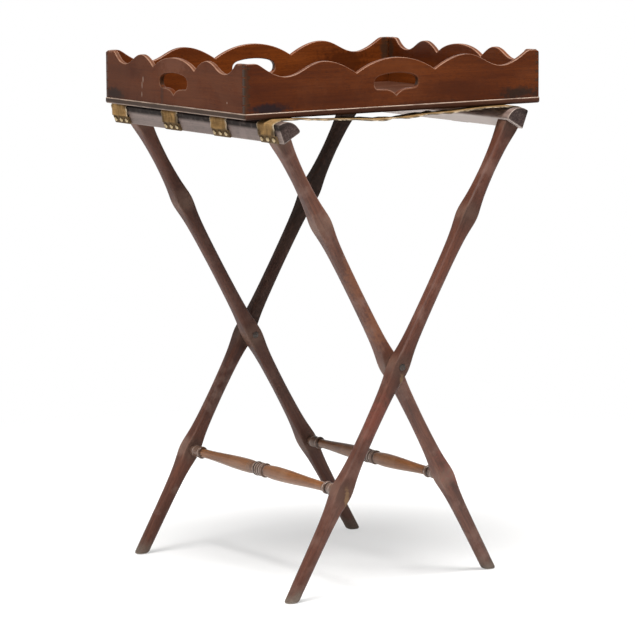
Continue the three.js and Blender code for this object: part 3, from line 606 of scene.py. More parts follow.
def makeLeg(name, side, way, node, material, shaded=0.0):
    s = legShape
    lean = math.radians(side["lean"])
    top, bend = side["seat"] - stand["seatGap"], -side["footPlace"] + s["footBend"]

    def middle(distance):
        return way * (side["legPlace"] + side["toe"] * distance)

    def soleAt(x):
        return (-stand["pivotHeight"] + x * math.sin(lean)) / math.cos(lean)

    rings = []
    count = round((top - bend) / s["ringStep"])
    for ring in range(count + 1):
        distance = lerp(top, bend, ring / count)
        section = roundedRing(*legSection(distance, side), s["cornerSteps"])
        rings.append([(x, y + middle(distance), distance) for x, y in section])
    foot, footMiddle = legSection(-side["footPlace"], side), middle(-side["footPlace"])
    for share in (0.25, 0.5, 0.7):
        section = roundedRing(*foot, s["cornerSteps"])
        rings.append([(x, y + footMiddle, lerp(bend, soleAt(x), share)) for x, y in section])
    for sine, cosine in quarter(s["soleSteps"]):  # the sole's edge is rubbed round
        lift = s["soleRound"] * (1 - sine) / math.cos(lean)
        section = roundedRing(*foot, s["cornerSteps"], s["soleRound"] * (1 - cosine) * 0.75)
        rings.append([(x, y + footMiddle, soleAt(x) + lift) for x, y in section])
    points = [point for ring in rings[::-1] for point in ring]
    piece = newPiece(name, points, loftFaces(len(rings), len(rings[0])), material, frameMatrix(side), 50)

    def shares(at):
        deep, across, corner = legSection(at.z, side)
        return abs(at.x) / (deep / 2), abs(at.y - middle(at.z)) / (across / 2), corner

    def wornCorner(at):
        x, y, corner = shares(at)
        return smooth((x * y - 0.62) / 0.38) * smooth((6.5 - corner) / 4.5)

    def dirt(at):  # painted shade: the flats at the nodes are darker, and one leg has a painted shadow of the tray above its pivot
        x, y, corner = shares(at)
        flat = side["flatShade"] * smooth((6 - corner) / 4) * smooth((y - 0.85) / 0.12)
        above = 0.72 * smooth((at.z + 70) / 100) + 0.28 * smooth((at.z - 120) / 150)
        return max(flat, shaded * above)

    def rise(at):
        return (stand["pivotHeight"] + at.z * math.cos(lean) - at.x * math.sin(lean)) * mm

    settle(piece, side["body"], "leg_wood", node, (0, 0, 1), edge=wornCorner, sooty=dirt, aboveFloor=rise)


makeLeg("legOuterNear", outer, -1, "outer_leg_near", legWood)
makeLeg("legOuterFar", outer, 1, "outer_leg_far", darkLegWood, 1.0)
makeLeg("legInnerNear", inner, 1, "inner_leg_near", innerLegWood)
makeLeg("legInnerFar", inner, -1, "inner_leg_far", farLegWood)
print("stage: legs")


# Prisms with eased edges: loops of (u, v, inward u, inward v, radius in front, radius behind)

def inwardOf(loop, index, limit=1.7):
    before, here, after = loop[index - 1], loop[index], loop[(index + 1) % len(loop)]
    first = Vector((here[0] - before[0], here[1] - before[1])).normalized()
    second = Vector((after[0] - here[0], after[1] - here[1])).normalized()
    square = Vector((-first.y, first.x))
    normal = Vector((-first.y - second.y, first.x + second.x))
    if normal.length < 1e-6:
        return square
    normal.normalize()
    return normal * (1 / max(normal.dot(square), 1 / limit))


def easedPrism(loops, thickness, steps, band):
    # The first loop is the outline and runs anticlockwise; holes run clockwise.
    # A flat band lies beside each edge.
    rounds = [(1 - sine, 1 - cosine) for sine, cosine in quarter(steps)]
    front = [(1, 0, 0, band, 0.0)] + [(*level, 0, 0.0, 0.0) for level in rounds] + [(0, 1, 0, 0.0, 1.6)]
    levels = front + [(inset, depth, 1, more, further) for inset, depth, _, more, further in front[::-1]]
    points, faces, starts = [], [], []
    for loop in loops:
        starts.append(len(points))
        for inset, depth, behind, more, further in levels:
            for u, v, du, dv, frontRadius, backRadius in loop:
                radius = backRadius if behind else frontRadius
                place = radius * depth + further
                reach = radius * inset + more
                points.append((u + du * reach, v + dv * reach, thickness - place if behind else place))
    for start, loop in zip(starts, loops):
        faces += [tuple(start + i for i in face) for face in ringFaces(len(levels), len(loop))]
    for level in (0, len(levels) - 1):
        flat, names = [], []
        for start, loop in zip(starts, loops):
            row = [start + level * len(loop) + i for i in range(len(loop))]
            flat.append([Vector((*points[i][:2], 0)) for i in row])
            names += row
        for triangle in tessellate_polygon(flat):
            a, b, c = (names[i] for i in triangle)
            corner = Vector(points[a][:2])
            if ((Vector(points[b][:2]) - corner).cross(Vector(points[c][:2]) - corner) > 0) == (level == 0):
                b, c = c, b
            faces.append((a, b, c))
    return points, faces


# Rails

def eased(outline, place, radius):
    # the outline with its corner at a place worn round
    index = min(range(len(outline)), key=lambda i: math.dist(outline[i], place))
    corner = Vector(outline[index])
    ends = []
    for way in (-1, 1):
        row = [Vector(outline[(index + way * i) % len(outline)]) for i in range(1, len(outline) // 2)]
        far = next(i for i, point in enumerate(row) if (point - corner).length > radius)
        nearer = row[far - 1] if far else corner
        done = (nearer - corner).length
        ends.append((far, nearer.lerp(row[far], (radius - done) / ((row[far] - corner).length - done))))
    (before, first), (after, last) = ends
    kept = [outline[(index + after + 1 + i) % len(outline)] for i in range(len(outline) - before - after - 1)]
    return drawn((first, corner, last), 6) + kept


def makeRail(name, side, node):
    r, seat = railShape, side["seat"]
    worn = eased(railOutline(r["fineSteps"]), (-r["inner"], 0), r["toeRound"])
    outline = []
    for here, after in zip(worn, worn[1:] + worn[:1]):  # flats are divided, so that wear can fade over them
        count = max(1, round(math.dist(here, after) / r["flatStep"]))
        outline += [tuple(lerp(a, b, k / count) for a, b in zip(here, after)) for k in range(count)]
    loop = [(*here, *inwardOf(outline, i), r["endRound"], r["endRound"]) for i, here in enumerate(outline)]
    points, faces = easedPrism([loop], r["length"], 4, 1.0)
    half, middle = r["length"] / 2, -r["middle"] if side["turned"] else r["middle"]
    points = [(x, middle + half - y, z + seat) for x, z, y in points]
    piece = newPiece(name, points, faces, railWood, frameMatrix(side), 40, True)

    def wornEdge(at):
        gap = half - abs(at.y - middle)
        endward = smooth((3.0 - gap) / 2.4) * smooth(gap / 0.4)
        return max(endward, smooth((2.5 - (at.z - seat)) / 2) * 0.6)

    # a painted shadow of the tray along the top of the rail, strongest on its outer face
    def dirt(at):
        return smooth((at.z - seat - 19) / 6) * (0.98 if at.x > 8 else 0.4)

    settle(piece, side["body"], "rail_wood", node, (0, 1, 0), edge=wornEdge, sooty=dirt)


makeRail("railOuter", outer, "outer_rail")
makeRail("railInner", inner, "inner_rail")
print("stage: rails")


# Stretchers

stretcherShape = {
    "tenonRadius": 6, "tenonLength": 14, "ballLength": 26, "ballRadius": 10.2,
    "ringLength": 8, "ringRadius": 11, "neckRadius": 7.8, "spindleEnd": 7.8,
    "belly": 11.9, "bellyPlace": 46, "shoulder": 10.2, "groove": 9.4,
    "grooveWidth": 3, "discWidth": 3.2, "discRadius": 12.6, "reedRadius": 12.1, "reedGroove": 10.9,
    "reedWidth": 6.8, "reedCount": 3, "bandOffset": 2.9, "sides": 44, "swellSteps": 40, "fallSteps": 24,
    "oldLines": (21.5, 24.6, 28.4, 32.0),  # faint tool lines beside one band
}


def bead(start, end, valley, crest, steps, power):
    points = []
    for step in range(steps + 1):
        swell = math.sin(math.pi * (step / steps)) ** power
        points.append((valley + (crest - valley) * swell, lerp(start, end, step / steps)))
    return points


def stretcherPlaces(side):
    # where each form ends or begins on one half, from the middle out
    s = stretcherShape
    halfLeg = legShape["nodeAcross"] / 2
    leg = side["legPlace"] - side["toe"] * legShape["lowerNode"] - halfLeg - stand["seatGap"]
    reeds = s["reedCount"] * s["reedWidth"] / 2
    disc, ball = reeds + s["discWidth"], leg - s["ballLength"]
    return {
        "reedStarts": [index * s["reedWidth"] - reeds for index in range(s["reedCount"] + 1)],
        "reeds": reeds, "disc": disc, "spindle": disc + s["grooveWidth"],
        "ring": ball - s["ringLength"], "ball": ball, "leg": leg,
    }


def stretcherHalf(at):
    # pairs of radius and place, from the middle out
    s = stretcherShape
    rim, groove, tenon = s["discRadius"], s["groove"], s["tenonRadius"]
    reeds, disc, spindle, leg = at["reeds"], at["disc"], at["spindle"], at["leg"]
    upper = []
    for start in at["reedStarts"][:-1]:
        reed = bead(start, start + s["reedWidth"], s["reedGroove"], s["reedRadius"], 8, 0.7)
        upper += [point for point in reed[1:] if point[1] > -0.01]
    upper += [(rim - 0.5, reeds + 0.15), (rim, reeds + 0.7), (rim, disc - 0.7), (rim - 0.5, disc - 0.15)]
    upper += [(groove + 0.6, disc + 0.1), (groove, disc + 0.8), (groove, spindle - 0.9)]
    upper.append((s["shoulder"] - 0.3, spindle - 0.25))
    for step in range(s["swellSteps"] + 1):
        t = step / s["swellSteps"]
        radius = lerp(s["shoulder"], s["belly"], math.sin(math.pi / 2 * t))
        upper.append((radius, lerp(spindle, s["bellyPlace"], t)))
    for step in range(1, s["fallSteps"] + 1):
        t = step / s["fallSteps"]
        radius = lerp(s["belly"], s["spindleEnd"], (1 - math.cos(math.pi * t)) / 2)
        upper.append((radius, lerp(s["bellyPlace"], at["ring"], t)))
    upper += bead(at["ring"], at["ball"], s["neckRadius"], s["ringRadius"], 10, 0.6)
    upper += bead(at["ball"], leg, s["neckRadius"], s["ballRadius"], 16, 0.8)[1:]
    end = leg + s["tenonLength"]
    return upper + [(tenon, leg), (tenon, end - 0.8), (tenon - 0.8, end)]


def near(place, lines, width):
    return max([clamp01(1 - abs(place - line) / width) for line in lines] or [0.0])


def storeTurning(piece, places, at, oldLines):
    # the dull band, the dark grooves and the pale crests, ring by ring
    s = stretcherShape
    ways = (-1, 1)
    starts, spindle, ring = at["reedStarts"], at["spindle"], at["ring"]
    cuts = (at["disc"] + 1.5, ring - 0.2, at["ball"], at["leg"] - 0.5)
    tops = [at["reeds"] + s["discWidth"] / 2, spindle + 0.2]
    tops += [ring + s["ringLength"] / 2, at["leg"] - s["ballLength"] / 2]
    grooves = starts + [way * place for way in ways for place in cuts]
    crests = [way * place for way in ways for place in tops]
    crests += [start + s["reedWidth"] / 2 for start in starts[:-1]]
    rows = {"band": [], "groove": [], "paleRing": []}
    for place in places:
        size = abs(place)
        inside = 1 if size < spindle - 0.3 or size > ring else 0
        fade = 16 if place > 0 and oldLines else 6
        beside = clamp01(1 - (size - spindle) / fade) if size >= spindle else 0
        rows["band"].append(max(inside, 0.8 * beside))
        rows["groove"].append(max(near(place, grooves, 2.0), 0.6 * near(place, oldLines, 1.2)))
        pale = near(place, [line + 1.7 for line in oldLines], 1.0)
        rows["paleRing"].append(max(near(place, crests, 1.6), 0.4 * pale))
    for label, row in rows.items():
        storeRow(piece, label, [value for value in row for _ in range(s["sides"])])


def makeStretcher(name, side, node):
    s, at = stretcherShape, stretcherPlaces(side)
    upper = stretcherHalf(at)
    whole = [(radius, -place) for radius, place in upper[::-1] if place > 0.01] + upper
    bandOffset = -s["bandOffset"] if side["turned"] else s["bandOffset"]

    def moved(place):  # the band was turned a little off the centre
        return place + bandOffset * clamp01((at["ring"] - abs(place)) / (at["ring"] - s["bellyPlace"]))

    profile = [(radius, moved(place)) for radius, place in whole]
    points = [(x, y, z - legShape["lowerNode"]) for x, y, z in lathePoints(profile, s["sides"])]
    piece = newPiece(name, points, loftFaces(len(profile), s["sides"]), turnedWood, frameMatrix(side), 42)
    storeTurning(piece, [place for _, place in whole], at, () if side["turned"] else s["oldLines"])

    def wornCrest(spot):
        return 0.35 if math.hypot(spot.x, spot.z + legShape["lowerNode"]) > 11 else 0.0

    settle(piece, side["body"], "turned_wood", node, (0, 1, 0), edge=wornCrest)


makeStretcher("stretcherOuter", outer, "outer_stretcher")
makeStretcher("stretcherInner", inner, "inner_stretcher")
print("stage: stretchers")


# Pivot pins and washers

pivotShape = {"radius": 4, "head": 5.8, "headHeight": 0.9, "washer": 9, "washerThickness": 0.8, "sides": 36}


def makePivots():
    s = pivotShape
    halfLeg = legShape["nodeAcross"] / 2
    outerFace = outer["legPlace"] + halfLeg + stand["seatGap"]
    innerFace = inner["legPlace"] - halfLeg - stand["seatGap"]

    def head(face, way):
        rows = [(s["radius"], face), (s["head"], face), (s["head"], face + way * 0.25)]
        for sine, cosine in quarter(6)[1:6]:
            rows.append((s["head"] * cosine, face + way * lerp(0.25, s["headHeight"], sine)))
        return rows

    pin = head(innerFace, -1)[::-1] + head(outerFace, 1)
    low = inner["legPlace"] + halfLeg + stand["seatGap"]
    high, inside, rim = low + s["washerThickness"], s["radius"] + 0.25, s["washer"]
    ring = [(inside, low), (rim - 0.15, low), (rim, low + 0.15)]
    ring += [(rim, high - 0.15), (rim - 0.15, high), (inside, high)]
    count = s["sides"]
    last = (len(ring) - 1) * count
    closing = [(last + i, last + (i + 1) % count, (i + 1) % count, i) for i in range(count)]
    for label, way in (("Near", -1), ("Far", 1)):
        for kind, profile, faces, material, slotName in (
            ("Pin", pin, loftFaces(len(pin), count), iron, "iron"),
            ("Washer", ring, ringFaces(len(ring), count) + closing, brass, "brass"),
        ):
            points = [(x, way * y, z * way) for x, y, z in lathePoints(profile, count)]
            piece = newPiece(f"pivot{kind}{label}", points, faces, material, pivotMatrix(), 30)
            settle(piece, "outer_frame", slotName, f"pivot_{kind.lower()}_{label.lower()}")


makePivots()
print("stage: pivots")


# Webbing over the rails

def faceNormal():
    return Vector((railShape["depth"], railShape["taper"])).normalized()


def facePoint(rise):
    return Vector((railShape["outer"] - railShape["taper"] * rise / railShape["depth"], rise))


def strapRoute(side):
    # From the turned-under end over the rail to its crest: places of the cloth's middle line, their normals
    # out of the rail, and how far the cloth is held there.
    w = strapShape
    t, out = w["thickness"], faceNormal()
    up = Vector((-out.y, out.x))
    layer = stand["seatGap"] + t / 2
    bottom = w["endRise"] + t / 2
    route = []
    for step in range(w["endSteps"] + 1):  # the free end lies inside, against the rail
        rise = lerp(w["turnedRise"], bottom, step / w["endSteps"])
        route.append((facePoint(rise) + out * layer, -out, 1))
    middle = facePoint(bottom) + out * (layer + t / 2)
    for step in range(1, w["turnSteps"]):
        angle = math.pi * step / w["turnSteps"]
        turned = -out * math.cos(angle) - up * math.sin(angle)
        route.append((middle + turned * t / 2, turned, 1))
    top = railShape["depth"] - railShape["cornerRound"] - 1
    for step in range(w["faceSteps"] + 1):
        rise = lerp(bottom, top, step / w["faceSteps"])
        over = rise - w["tackTop"]
        pressed = 1 - smooth(over / (w["puffEnd"] - w["tackTop"]))
        puff = smooth((over + 1.6) / 1.6) * pressed * w["puff"]
        route.append((facePoint(rise) + out * (layer + t * pressed + puff), out, 1 - smooth(over / 1.5)))
    outline = [Vector(point) for point in railOutline(railShape["fineSteps"])]
    lean = math.radians(side["lean"])
    rises = [point.y * math.cos(lean) - point.x * math.sin(lean) for point in outline]
    for index in range(3, rises.index(max(rises)) + 1):
        along = outline[min(index + 1, len(outline) - 1)] - outline[index - 1]
        normal = Vector((along.y, -along.x)).normalized()
        route.append((outline[index] + normal * layer, normal, 0))
    matrix = frameMatrix(side)

    def placed(point):
        world = matrix @ Vector((point.x * mm, 0, (point.y + side["seat"]) * mm))
        return Vector((world.x, world.z))

    return [(placed(p) / mm, (placed(p + n) - placed(p)).normalized(), held) for p, n, held in route]


strapWaves = (  # heights of each strap's front and back edges over its even sag, from rail to rail
    (
        ((0.02, 0), (0.09, 0.4), (0.16, -1.4), (0.27, 1.0), (0.34, -0.8), (0.42, -2.2), (0.47, 0.9),
         (0.55, 0.0), (0.63, 2.6), (0.72, 0.9), (0.83, 1.6), (0.97, 0)),
        ((0.05, 0), (0.2, -1.5), (0.35, 1.2), (0.5, -1.2), (0.66, 1.6), (0.8, -1.0), (0.95, 0)),
    ), (
        ((0.04, 0), (0.16, -1.4), (0.3, 1.6), (0.47, -0.9), (0.62, 1.4), (0.8, -1.2), (0.95, 0)),
        ((0.04, 0), (0.22, 1.2), (0.4, -1.2), (0.6, 1.3), (0.78, -0.8), (0.95, 0)),
    ), (
        ((0.04, 0), (0.2, 1.5), (0.38, -1.0), (0.55, 1.5), (0.75, -1.4), (0.95, 0)),
        ((0.04, 0), (0.18, -1.2), (0.36, 1.4), (0.58, -1.0), (0.8, 1.0), (0.95, 0)),
    ), (
        ((0.04, 0), (0.17, 1.3), (0.35, -1.3), (0.52, 1.2), (0.72, -0.7), (0.95, 0)),
        ((0.04, 0), (0.15, -1.7), (0.32, 1.5), (0.5, -0.8), (0.7, 1.6), (0.86, -0.8), (0.95, 0)),
    ),
)


def heightAlong(knots, t):
    if not knots[0][0] < t < knots[-1][0]:
        return 0.0
    index = next(i for i, knot in enumerate(knots) if knot[0] >= t)
    (a, low), (b, high) = knots[index - 1], knots[index]
    return lerp(low, high, smooth((t - a) / (b - a)))


def strapStations():
    # The cloth's middle line from end to end: place, normal, how far it is held and its share of the span.
    w = strapShape
    left, right = strapRoute(inner), strapRoute(outer)[::-1]
    start, end = left[-1][0], right[0][0]
    stations = [(*station, 0.0) for station in left]
    for step in range(1, w["spanSteps"]):
        t = step / w["spanSteps"]
        sag = Vector((0, w["sag"] * math.sin(math.pi * t) ** 2))
        stations.append((start.lerp(end, t) - sag, Vector((0, 1)), 0, t))
    return start, end, stations + [(*station, 1.0) for station in right]


def strapLift(index):
    # how far the cloth stands over its even sag, at a share of the span and a place across
    flutter = [chance.uniform(-1, 1) for _ in range(40)]
    curlFrom, curlHeight = (0.55, 1.5) if index == 1 else (0.7, 0.7)

    def crumple(t):
        at = t * (len(flutter) - 2)
        here = int(at)
        wave = lerp(flutter[here], flutter[here + 1], smooth(at - here))
        return wave * smooth(t / 0.12) * smooth((1 - t) / 0.12)

    def lift(t, across):
        if not 0 < t < 1:
            return 0.0
        share = (across + 1) / 2
        edgeward = curlHeight * smooth((abs(across) - curlFrom) / (1 - curlFrom))
        front, back = (heightAlong(knots, t) for knots in strapWaves[index - 1])
        curl = front * (1 - share) ** 1.6 + back * share ** 1.6
        return curl + edgeward * crumple(t) - 0.6 * math.sin(math.pi * t) * (1 - across * across)

    return lift


def strapDirt(index, total):
    # stain, fraying and softness at a place of the cloth
    w = strapShape
    tackAlong = w["turnedRise"] + w["tackRise"] - w["endRise"]
    stitched, rimFrom, rimFade = (1.0, 12, 7) if index == 1 else (0.35, 21.5, 2.5)
    tone = (0.42, 0.14, 0.0, -0.16)[index - 1]

    def dirt(u, v, held, span, tuft, odd):
        nearEnd = min(v, total - v)
        tackGap = math.hypot(nearEnd - tackAlong, min(abs(u - j * w["tackSpacing"]) for j in (-1, 0, 1)))
        rust = 0.55 * clamp01(1.4 - tackGap / 9.0)
        blotch = clamp01(1.6 * math.sin(v / 7.3 + index) * math.sin(v / 19 + 2 * index) + 0.2)
        grubby = blotch * clamp01((abs(u) - w["width"] * 0.3) / 4)
        onEdge = clamp01((abs(u) - rimFrom) / rimFade) if 0 < span < 1 else 0.0
        stain = held * 0.6 + rust + (0.8 * grubby + tone) * (1 - held) + onEdge * smooth((tuft - 0.7) / 0.1)
        fold = clamp01(1.3 - abs(nearEnd - w["turnedRise"] - 1.2) / 1.3) * stitched * (0.85 if odd else 0.15)
        return clamp01(stain), max(fold, onEdge * 0.8 * smooth((0.65 - tuft) / 0.2)), 1.0 - 0.8 * held

    return dirt


def strapFaces(rows, steps):
    count, size, faces = steps + 1, rows * (steps + 1), []
    for i in range(rows - 1):
        for a in range(i * count, i * count + steps):
            b = size + a
            faces += [(a, a + count, a + count + 1, a + 1), (b, b + 1, b + count + 1, b + count)]
    for a in range(0, size - count, count):  # the two long edges
        b, c, d = a + count, a + steps, a + count + steps
        faces += [(a, size + a, size + b, b), (d, size + d, size + c, c)]
    for a in range(steps):  # the two ends
        b = a + size - count
        faces += [(a, a + 1, size + a + 1, size + a), (b + 1, b, size + b, size + b + 1)]
    return faces


def makeStrap(index):
    w = strapShape
    width, steps = w["width"], w["acrossSteps"]
    half = (w["thickness"] - 0.15) / 2
    start, end, stations = strapStations()
    marks = [0.0]
    for before, after in zip(stations, stations[1:]):
        marks.append(marks[-1] + (after[0] - before[0]).length)
    total = marks[-1]
    lift, dirt = strapLift(index), strapDirt(index, total)
    ragged = [chance.random() for _ in stations]
    points, cloth, looks = [], [], []
    for sign in (1, -1):
        for (point, normal, held, t), v, tuft in zip(stations, marks, ragged):
            for j in range(steps + 1):
                across = lerp(-1, 1, j / steps)
                offset = sign * half * (0.8 if j in (0, steps) else 1.0)
                y = w["places"][index - 1] + across * width / 2
                points.append((point.x + normal.x * offset, y, point.y + lift(t, across) + normal.y * offset))
                u = across * width / 2
                cloth.append((u * mm, v * mm, index * 0.37))
                looks.append(dirt(u, v, held, t, tuft, j % 2))
    faces = strapFaces(len(stations), steps)
    piece = newPiece(f"webbing{index}", points, faces, webbing, None, 60)
    storeVectors(piece, "clothAt", cloth)
    for label, values in zip(("stain", "frayed", "soft"), zip(*looks)):
        storeRow(piece, label, values)
    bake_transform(piece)
    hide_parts(f"strap_{index}")
    return total


strapTotal = [makeStrap(index + 1) for index in range(len(strapWaves))][-1]
print(f"stage: webbing, {strapTotal:.0f} mm a strap")


# Tacks

tackShape = {
    "head": 4.0, "headHeight": 2.2, "rim": 0.4, "shank": 0.8, "length": 10.5, "sides": 20, "domeSteps": 5,
}


def tackMatrix(side, place, tilt):
    out = faceNormal()
    foot = facePoint(strapShape["tackRise"]) + out * (2 * stand["seatGap"] + 2 * strapShape["thickness"])
    turn = Vector((0, 1, 0)).rotation_difference(Vector((out.x, 0, out.y))).to_matrix().to_4x4()
    lean = Matrix.Rotation(math.radians(tilt[0]), 4, "X") @ Matrix.Rotation(math.radians(tilt[1]), 4, "Z")
    at = Matrix.Translation((foot.x * mm, place * mm, (foot.y + side["seat"]) * mm))
    return frameMatrix(side) @ at @ turn @ lean


def makeTacks():
    s, w = tackShape, strapShape
    head, shank, rim = s["head"], s["shank"], s["rim"]
    profile = [(0.15, -s["length"]), (shank, head - s["length"]), (shank, -0.02)]
    profile += [(head - 0.25, 0.0), (head, 0.2), (head - 0.05, rim)]
    for step in range(1, s["domeSteps"] + 1):
        angle = math.pi / 2 * step / (s["domeSteps"] + 0.6)
        profile.append((head * math.cos(angle), lerp(rim, s["headHeight"], math.sin(angle))))
    for label, side in (("Outer", outer), ("Inner", inner)):
        for number in range(len(w["places"]) * w["tacksAcross"]):
            strap, across = divmod(number, w["tacksAcross"])
            place = w["places"][strap] - stand["middle"] + (across - 1) * w["tackSpacing"]
            beaten = [chance.uniform(-0.12, 0.12) for _ in range(s["sides"])]
            points = []
            for i, (x, y, z) in enumerate(lathePoints(profile, s["sides"])):
                dent = beaten[i % s["sides"]] * (y / s["headHeight"]) if y > rim - 0.01 else 0
                points.append((x, y + dent, z))
            tilt = (chance.uniform(-4, 4), chance.uniform(-4, 4))
            matrix = tackMatrix(side, -place if side["turned"] else place, tilt)
            faces = loftFaces(len(profile), s["sides"])
            tack = newPiece(f"tack{label}{number + 1}", points, faces, brass, matrix, 35)
            settle(tack, side["body"], "brass", f"{label.lower()}_tack_{number + 1}")


makeTacks()
print("stage: tacks")


# The tray

trayShape = {
    "length": 593, "width": 450, "offset": -1.1, "cornerHeight": 90.6, "side": 9, "cornerRound": 4,
    "base": 10, "projection": 1.25, "topRound": 1.3, "footRound": 3.5, "floorRise": 1, "narrowBoard": 51,
    "jointGap": 0.2, "topEase": 1.7, "holeEase": 1.5, "innerEase": 0.25, "jointEase": 0.15,
    "holeWidth": 90, "holeTop": 65, "holePoint": 26.5, "steps": 16, "flatBand": 1.2,
    "rounds": {1: (12, 5), -1: (6, 4)}, "flatEase": 3.6, "softTurn": 5, "screws": 10,
    "endDrops": (9, 5, 2.4), "edgeRises": (4.6, 5.8, 7.0, 7.9),
    "pinCount": 5, "pinPitch": 14.9, "lowestPin": 14, "pinNarrow": 2.2,
    "pinSlope": math.tan(math.radians(10)),
}
galleryBottom = trayShape["base"] + stand["seatGap"]
galleryHeight = trayShape["cornerHeight"] - galleryBottom
longEdge = {"flat": (0.917, 1), "curves": (
    (0.806, 0.71, 0.735, 0.71), (0.633, 0.71, 0.585, 0.986, 0.483, 0.986),
    (0.408, 0.986, 0.333, 0.862, 0.265, 0.706), (0.197, 0.868, 0.102, 0.9925, 0, 0.9925),
)}
endEdge = {"flat": (0.864, 1), "curves": (
    (0.8, 0.756, 0.711, 0.756), (0.604, 0.756, 0.569, 0.986, 0.462, 0.986),
    (0.409, 0.986, 0.342, 0.874, 0.293, 0.75), (0.222, 0.905, 0.111, 0.984, 0, 0.984),
)}
holeEdge = {"flat": (0, 1), "curves": (
    (0.42, 1, 0.74, 0.9), (0.98, 0.82, 1, 0.6), (1, 0.3, 0.8, 0.285),
    (0.62, 0.275, 0.42, 0.26), (0.16, 0.2, 0, 0),
)}


def drawnShares(edge, steps):
    points = [edge["flat"]]
    for numbers in edge["curves"]:
        points += drawn([points[-1], *zip(numbers[::2], numbers[1::2])], steps)[1:]
    return points


def handHoleLoop(ease):
    s = trayShape
    bottom, height = s["holePoint"] - galleryBottom, s["holeTop"] - s["holePoint"]
    right = [(x * s["holeWidth"] / 2, bottom + y * height) for x, y in drawnShares(holeEdge, 10)]
    loop = right + [(-x, y) for x, y in right[-2:0:-1]]  # runs clockwise from the arch's middle
    inward = [inwardOf(loop, index, 2.2) for index in range(len(loop))]
    reach = ease * 0.7
    return [(u - i.x * reach, v - i.y * reach, i.x, i.y, ease, ease) for (u, v), i in zip(loop, inward)]


def boardTop(half, edge):
    # one half of the scalloped edge; the corner's flat turns softly into the first hollow
    points = [(x * half, y * galleryHeight) for x, y in drawnShares(edge, trayShape["steps"])]
    corner, reach = points[0], trayShape["softTurn"]
    index = next(i for i, point in enumerate(points) if math.dist(point, corner) > reach)
    return drawn(((corner[0] + reach, corner[1]), corner, points[index]), 6) + points[index + 1:]


def sideLoop(length, edge, sockets):
    s = trayShape
    half, joint = length / 2, s["jointEase"]
    narrow = s["pinNarrow"] / 2 + s["jointGap"]
    inside = s["side"] + s["jointGap"]
    wide = narrow + s["pinSlope"] * inside

    def upEnd(way):
        # up one end of the board; the round corner's points carry the sine and cosine of their turn
        row = [(way * half, 0, "bottom")]
        if not sockets:
            row += [(way * half, galleryHeight - drop, "end") for drop in s["endDrops"]]
            return row + [(way * half, galleryHeight, "top")]
        for i in range(s["pinCount"]):
            rise, back = s["lowestPin"] + i * s["pinPitch"], way * (half - inside)
            row += [(way * half, rise - narrow, "end"), (back, rise - wide, "socket")]
            row += [(back, rise + wide, "socket"), (way * half, rise + narrow, "end")]
        across, down = s["rounds"][way]
        for sine, cosine in quarter(7):
            x, y = half - across * (1 - cosine), galleryHeight - down * (1 - sine)
            row.append((way * x, y, (sine, cosine)))
        return row

    top = [(x, y, "top") for x, y in boardTop(half, edge)]
    mirrored = [(-x, y, kind) for x, y, kind in top[-2::-1]]
    outline = [(-half, 0, "bottom")] + upEnd(1) + top + mirrored + upEnd(-1)[:0:-1]
    plain = [(x, y) for x, y, _ in outline]
    rows = []
    for index, (x, y, kind) in enumerate(outline):
        way = -1 if x > 0 else 1
        inward, front, back = inwardOf(plain, index), s["topEase"], s["topEase"]
        if kind == "socket":
            inward, front, back = (0, 0), 0.0, 0.0
        elif kind == "end" or kind == "bottom" and sockets:
            inward, front, back = (way, 0), s["cornerRound"] if sockets else joint, joint
        elif kind == "bottom":
            front = back = joint
        elif isinstance(kind, tuple):
            sine, cosine = kind
            inward = (way * cosine, -sine)
            front, back = lerp(s["cornerRound"], front, sine), lerp(s["innerEase"], back, sine)
        elif not sockets and abs(abs(x) - half) < 0.01:
            inward, front, back = (way, 0), joint, s["innerEase"]
        elif not sockets:
            front = lerp(front, s["flatEase"], smooth((abs(x) / half - 0.82) / 0.1))
        rows.append((x, y, *inward, front, back))
    return rows


def distanceTo(points, u, v):
    # shortest way from a place to a drawn line
    here = Vector((u, v))
    shortest = 1e9
    for a, b in zip(points, points[1:]):
        along = b - a
        share = clamp01((here - a).dot(along) / max(along.length_squared, 1e-9))
        shortest = min(shortest, (here - a - along * share).length)
    return shortest


def trayMatrix():
    return Matrix.Translation((0, trayShape["offset"] * mm, stand["trayHeight"] * mm))


def makeBoard(name, points, faces, material, node, along):
    # along is 0 for a long side and 1 for an end
    s = trayShape
    sizes = (s["length"] / 2, s["width"] / 2)
    points = [(x, y, z + galleryBottom) for x, y, z in points]
    piece = newPiece(name, points, faces, material, trayMatrix(), 42, True)
    mergeTouching(piece)
    drawnTop = [(sizes[along], galleryHeight)] + boardTop(sizes[along], (longEdge, endEdge)[along])
    top = [Vector(point) for point in drawnTop]
    hole = [Vector(row[:2]) for row in handHoleLoop(0)]
    middle = (s["holeTop"] + s["holePoint"]) / 2 - galleryBottom

    def worn(at):  # pale along the two corners of an edge more than between them: partly rubbed, partly a painted highlight
        u, v, depth = at[along], at.z - galleryBottom, sizes[1 - along] - abs(at[1 - along])
        upper = clamp01(1.1 - distanceTo(top, abs(u), v) / 1.1)
        rim = clamp01(1.0 - distanceTo(hole + hole[:1], u, v) / 0.8)
        arris = 1 - 0.85 * smooth((min(depth, s["side"] - depth) - 1.0) / 1.2)
        return max(upper, rim * (0.7 if v < middle else 0.15)) * arris

    settle(piece, "tray", "tray_wood", node, (1 - along, along, 0), edge=worn)


def makeLongSide(name, way, material, node):
    s = trayShape
    loops = [sideLoop(s["length"], longEdge, True), handHoleLoop(s["holeEase"])]
    points, faces = easedPrism(loops, s["side"], 5, s["flatBand"])
    points = [(-way * u, way * (s["width"] / 2 - w), v) for u, v, w in points]
    makeBoard(name, points, faces, material, node, 0)


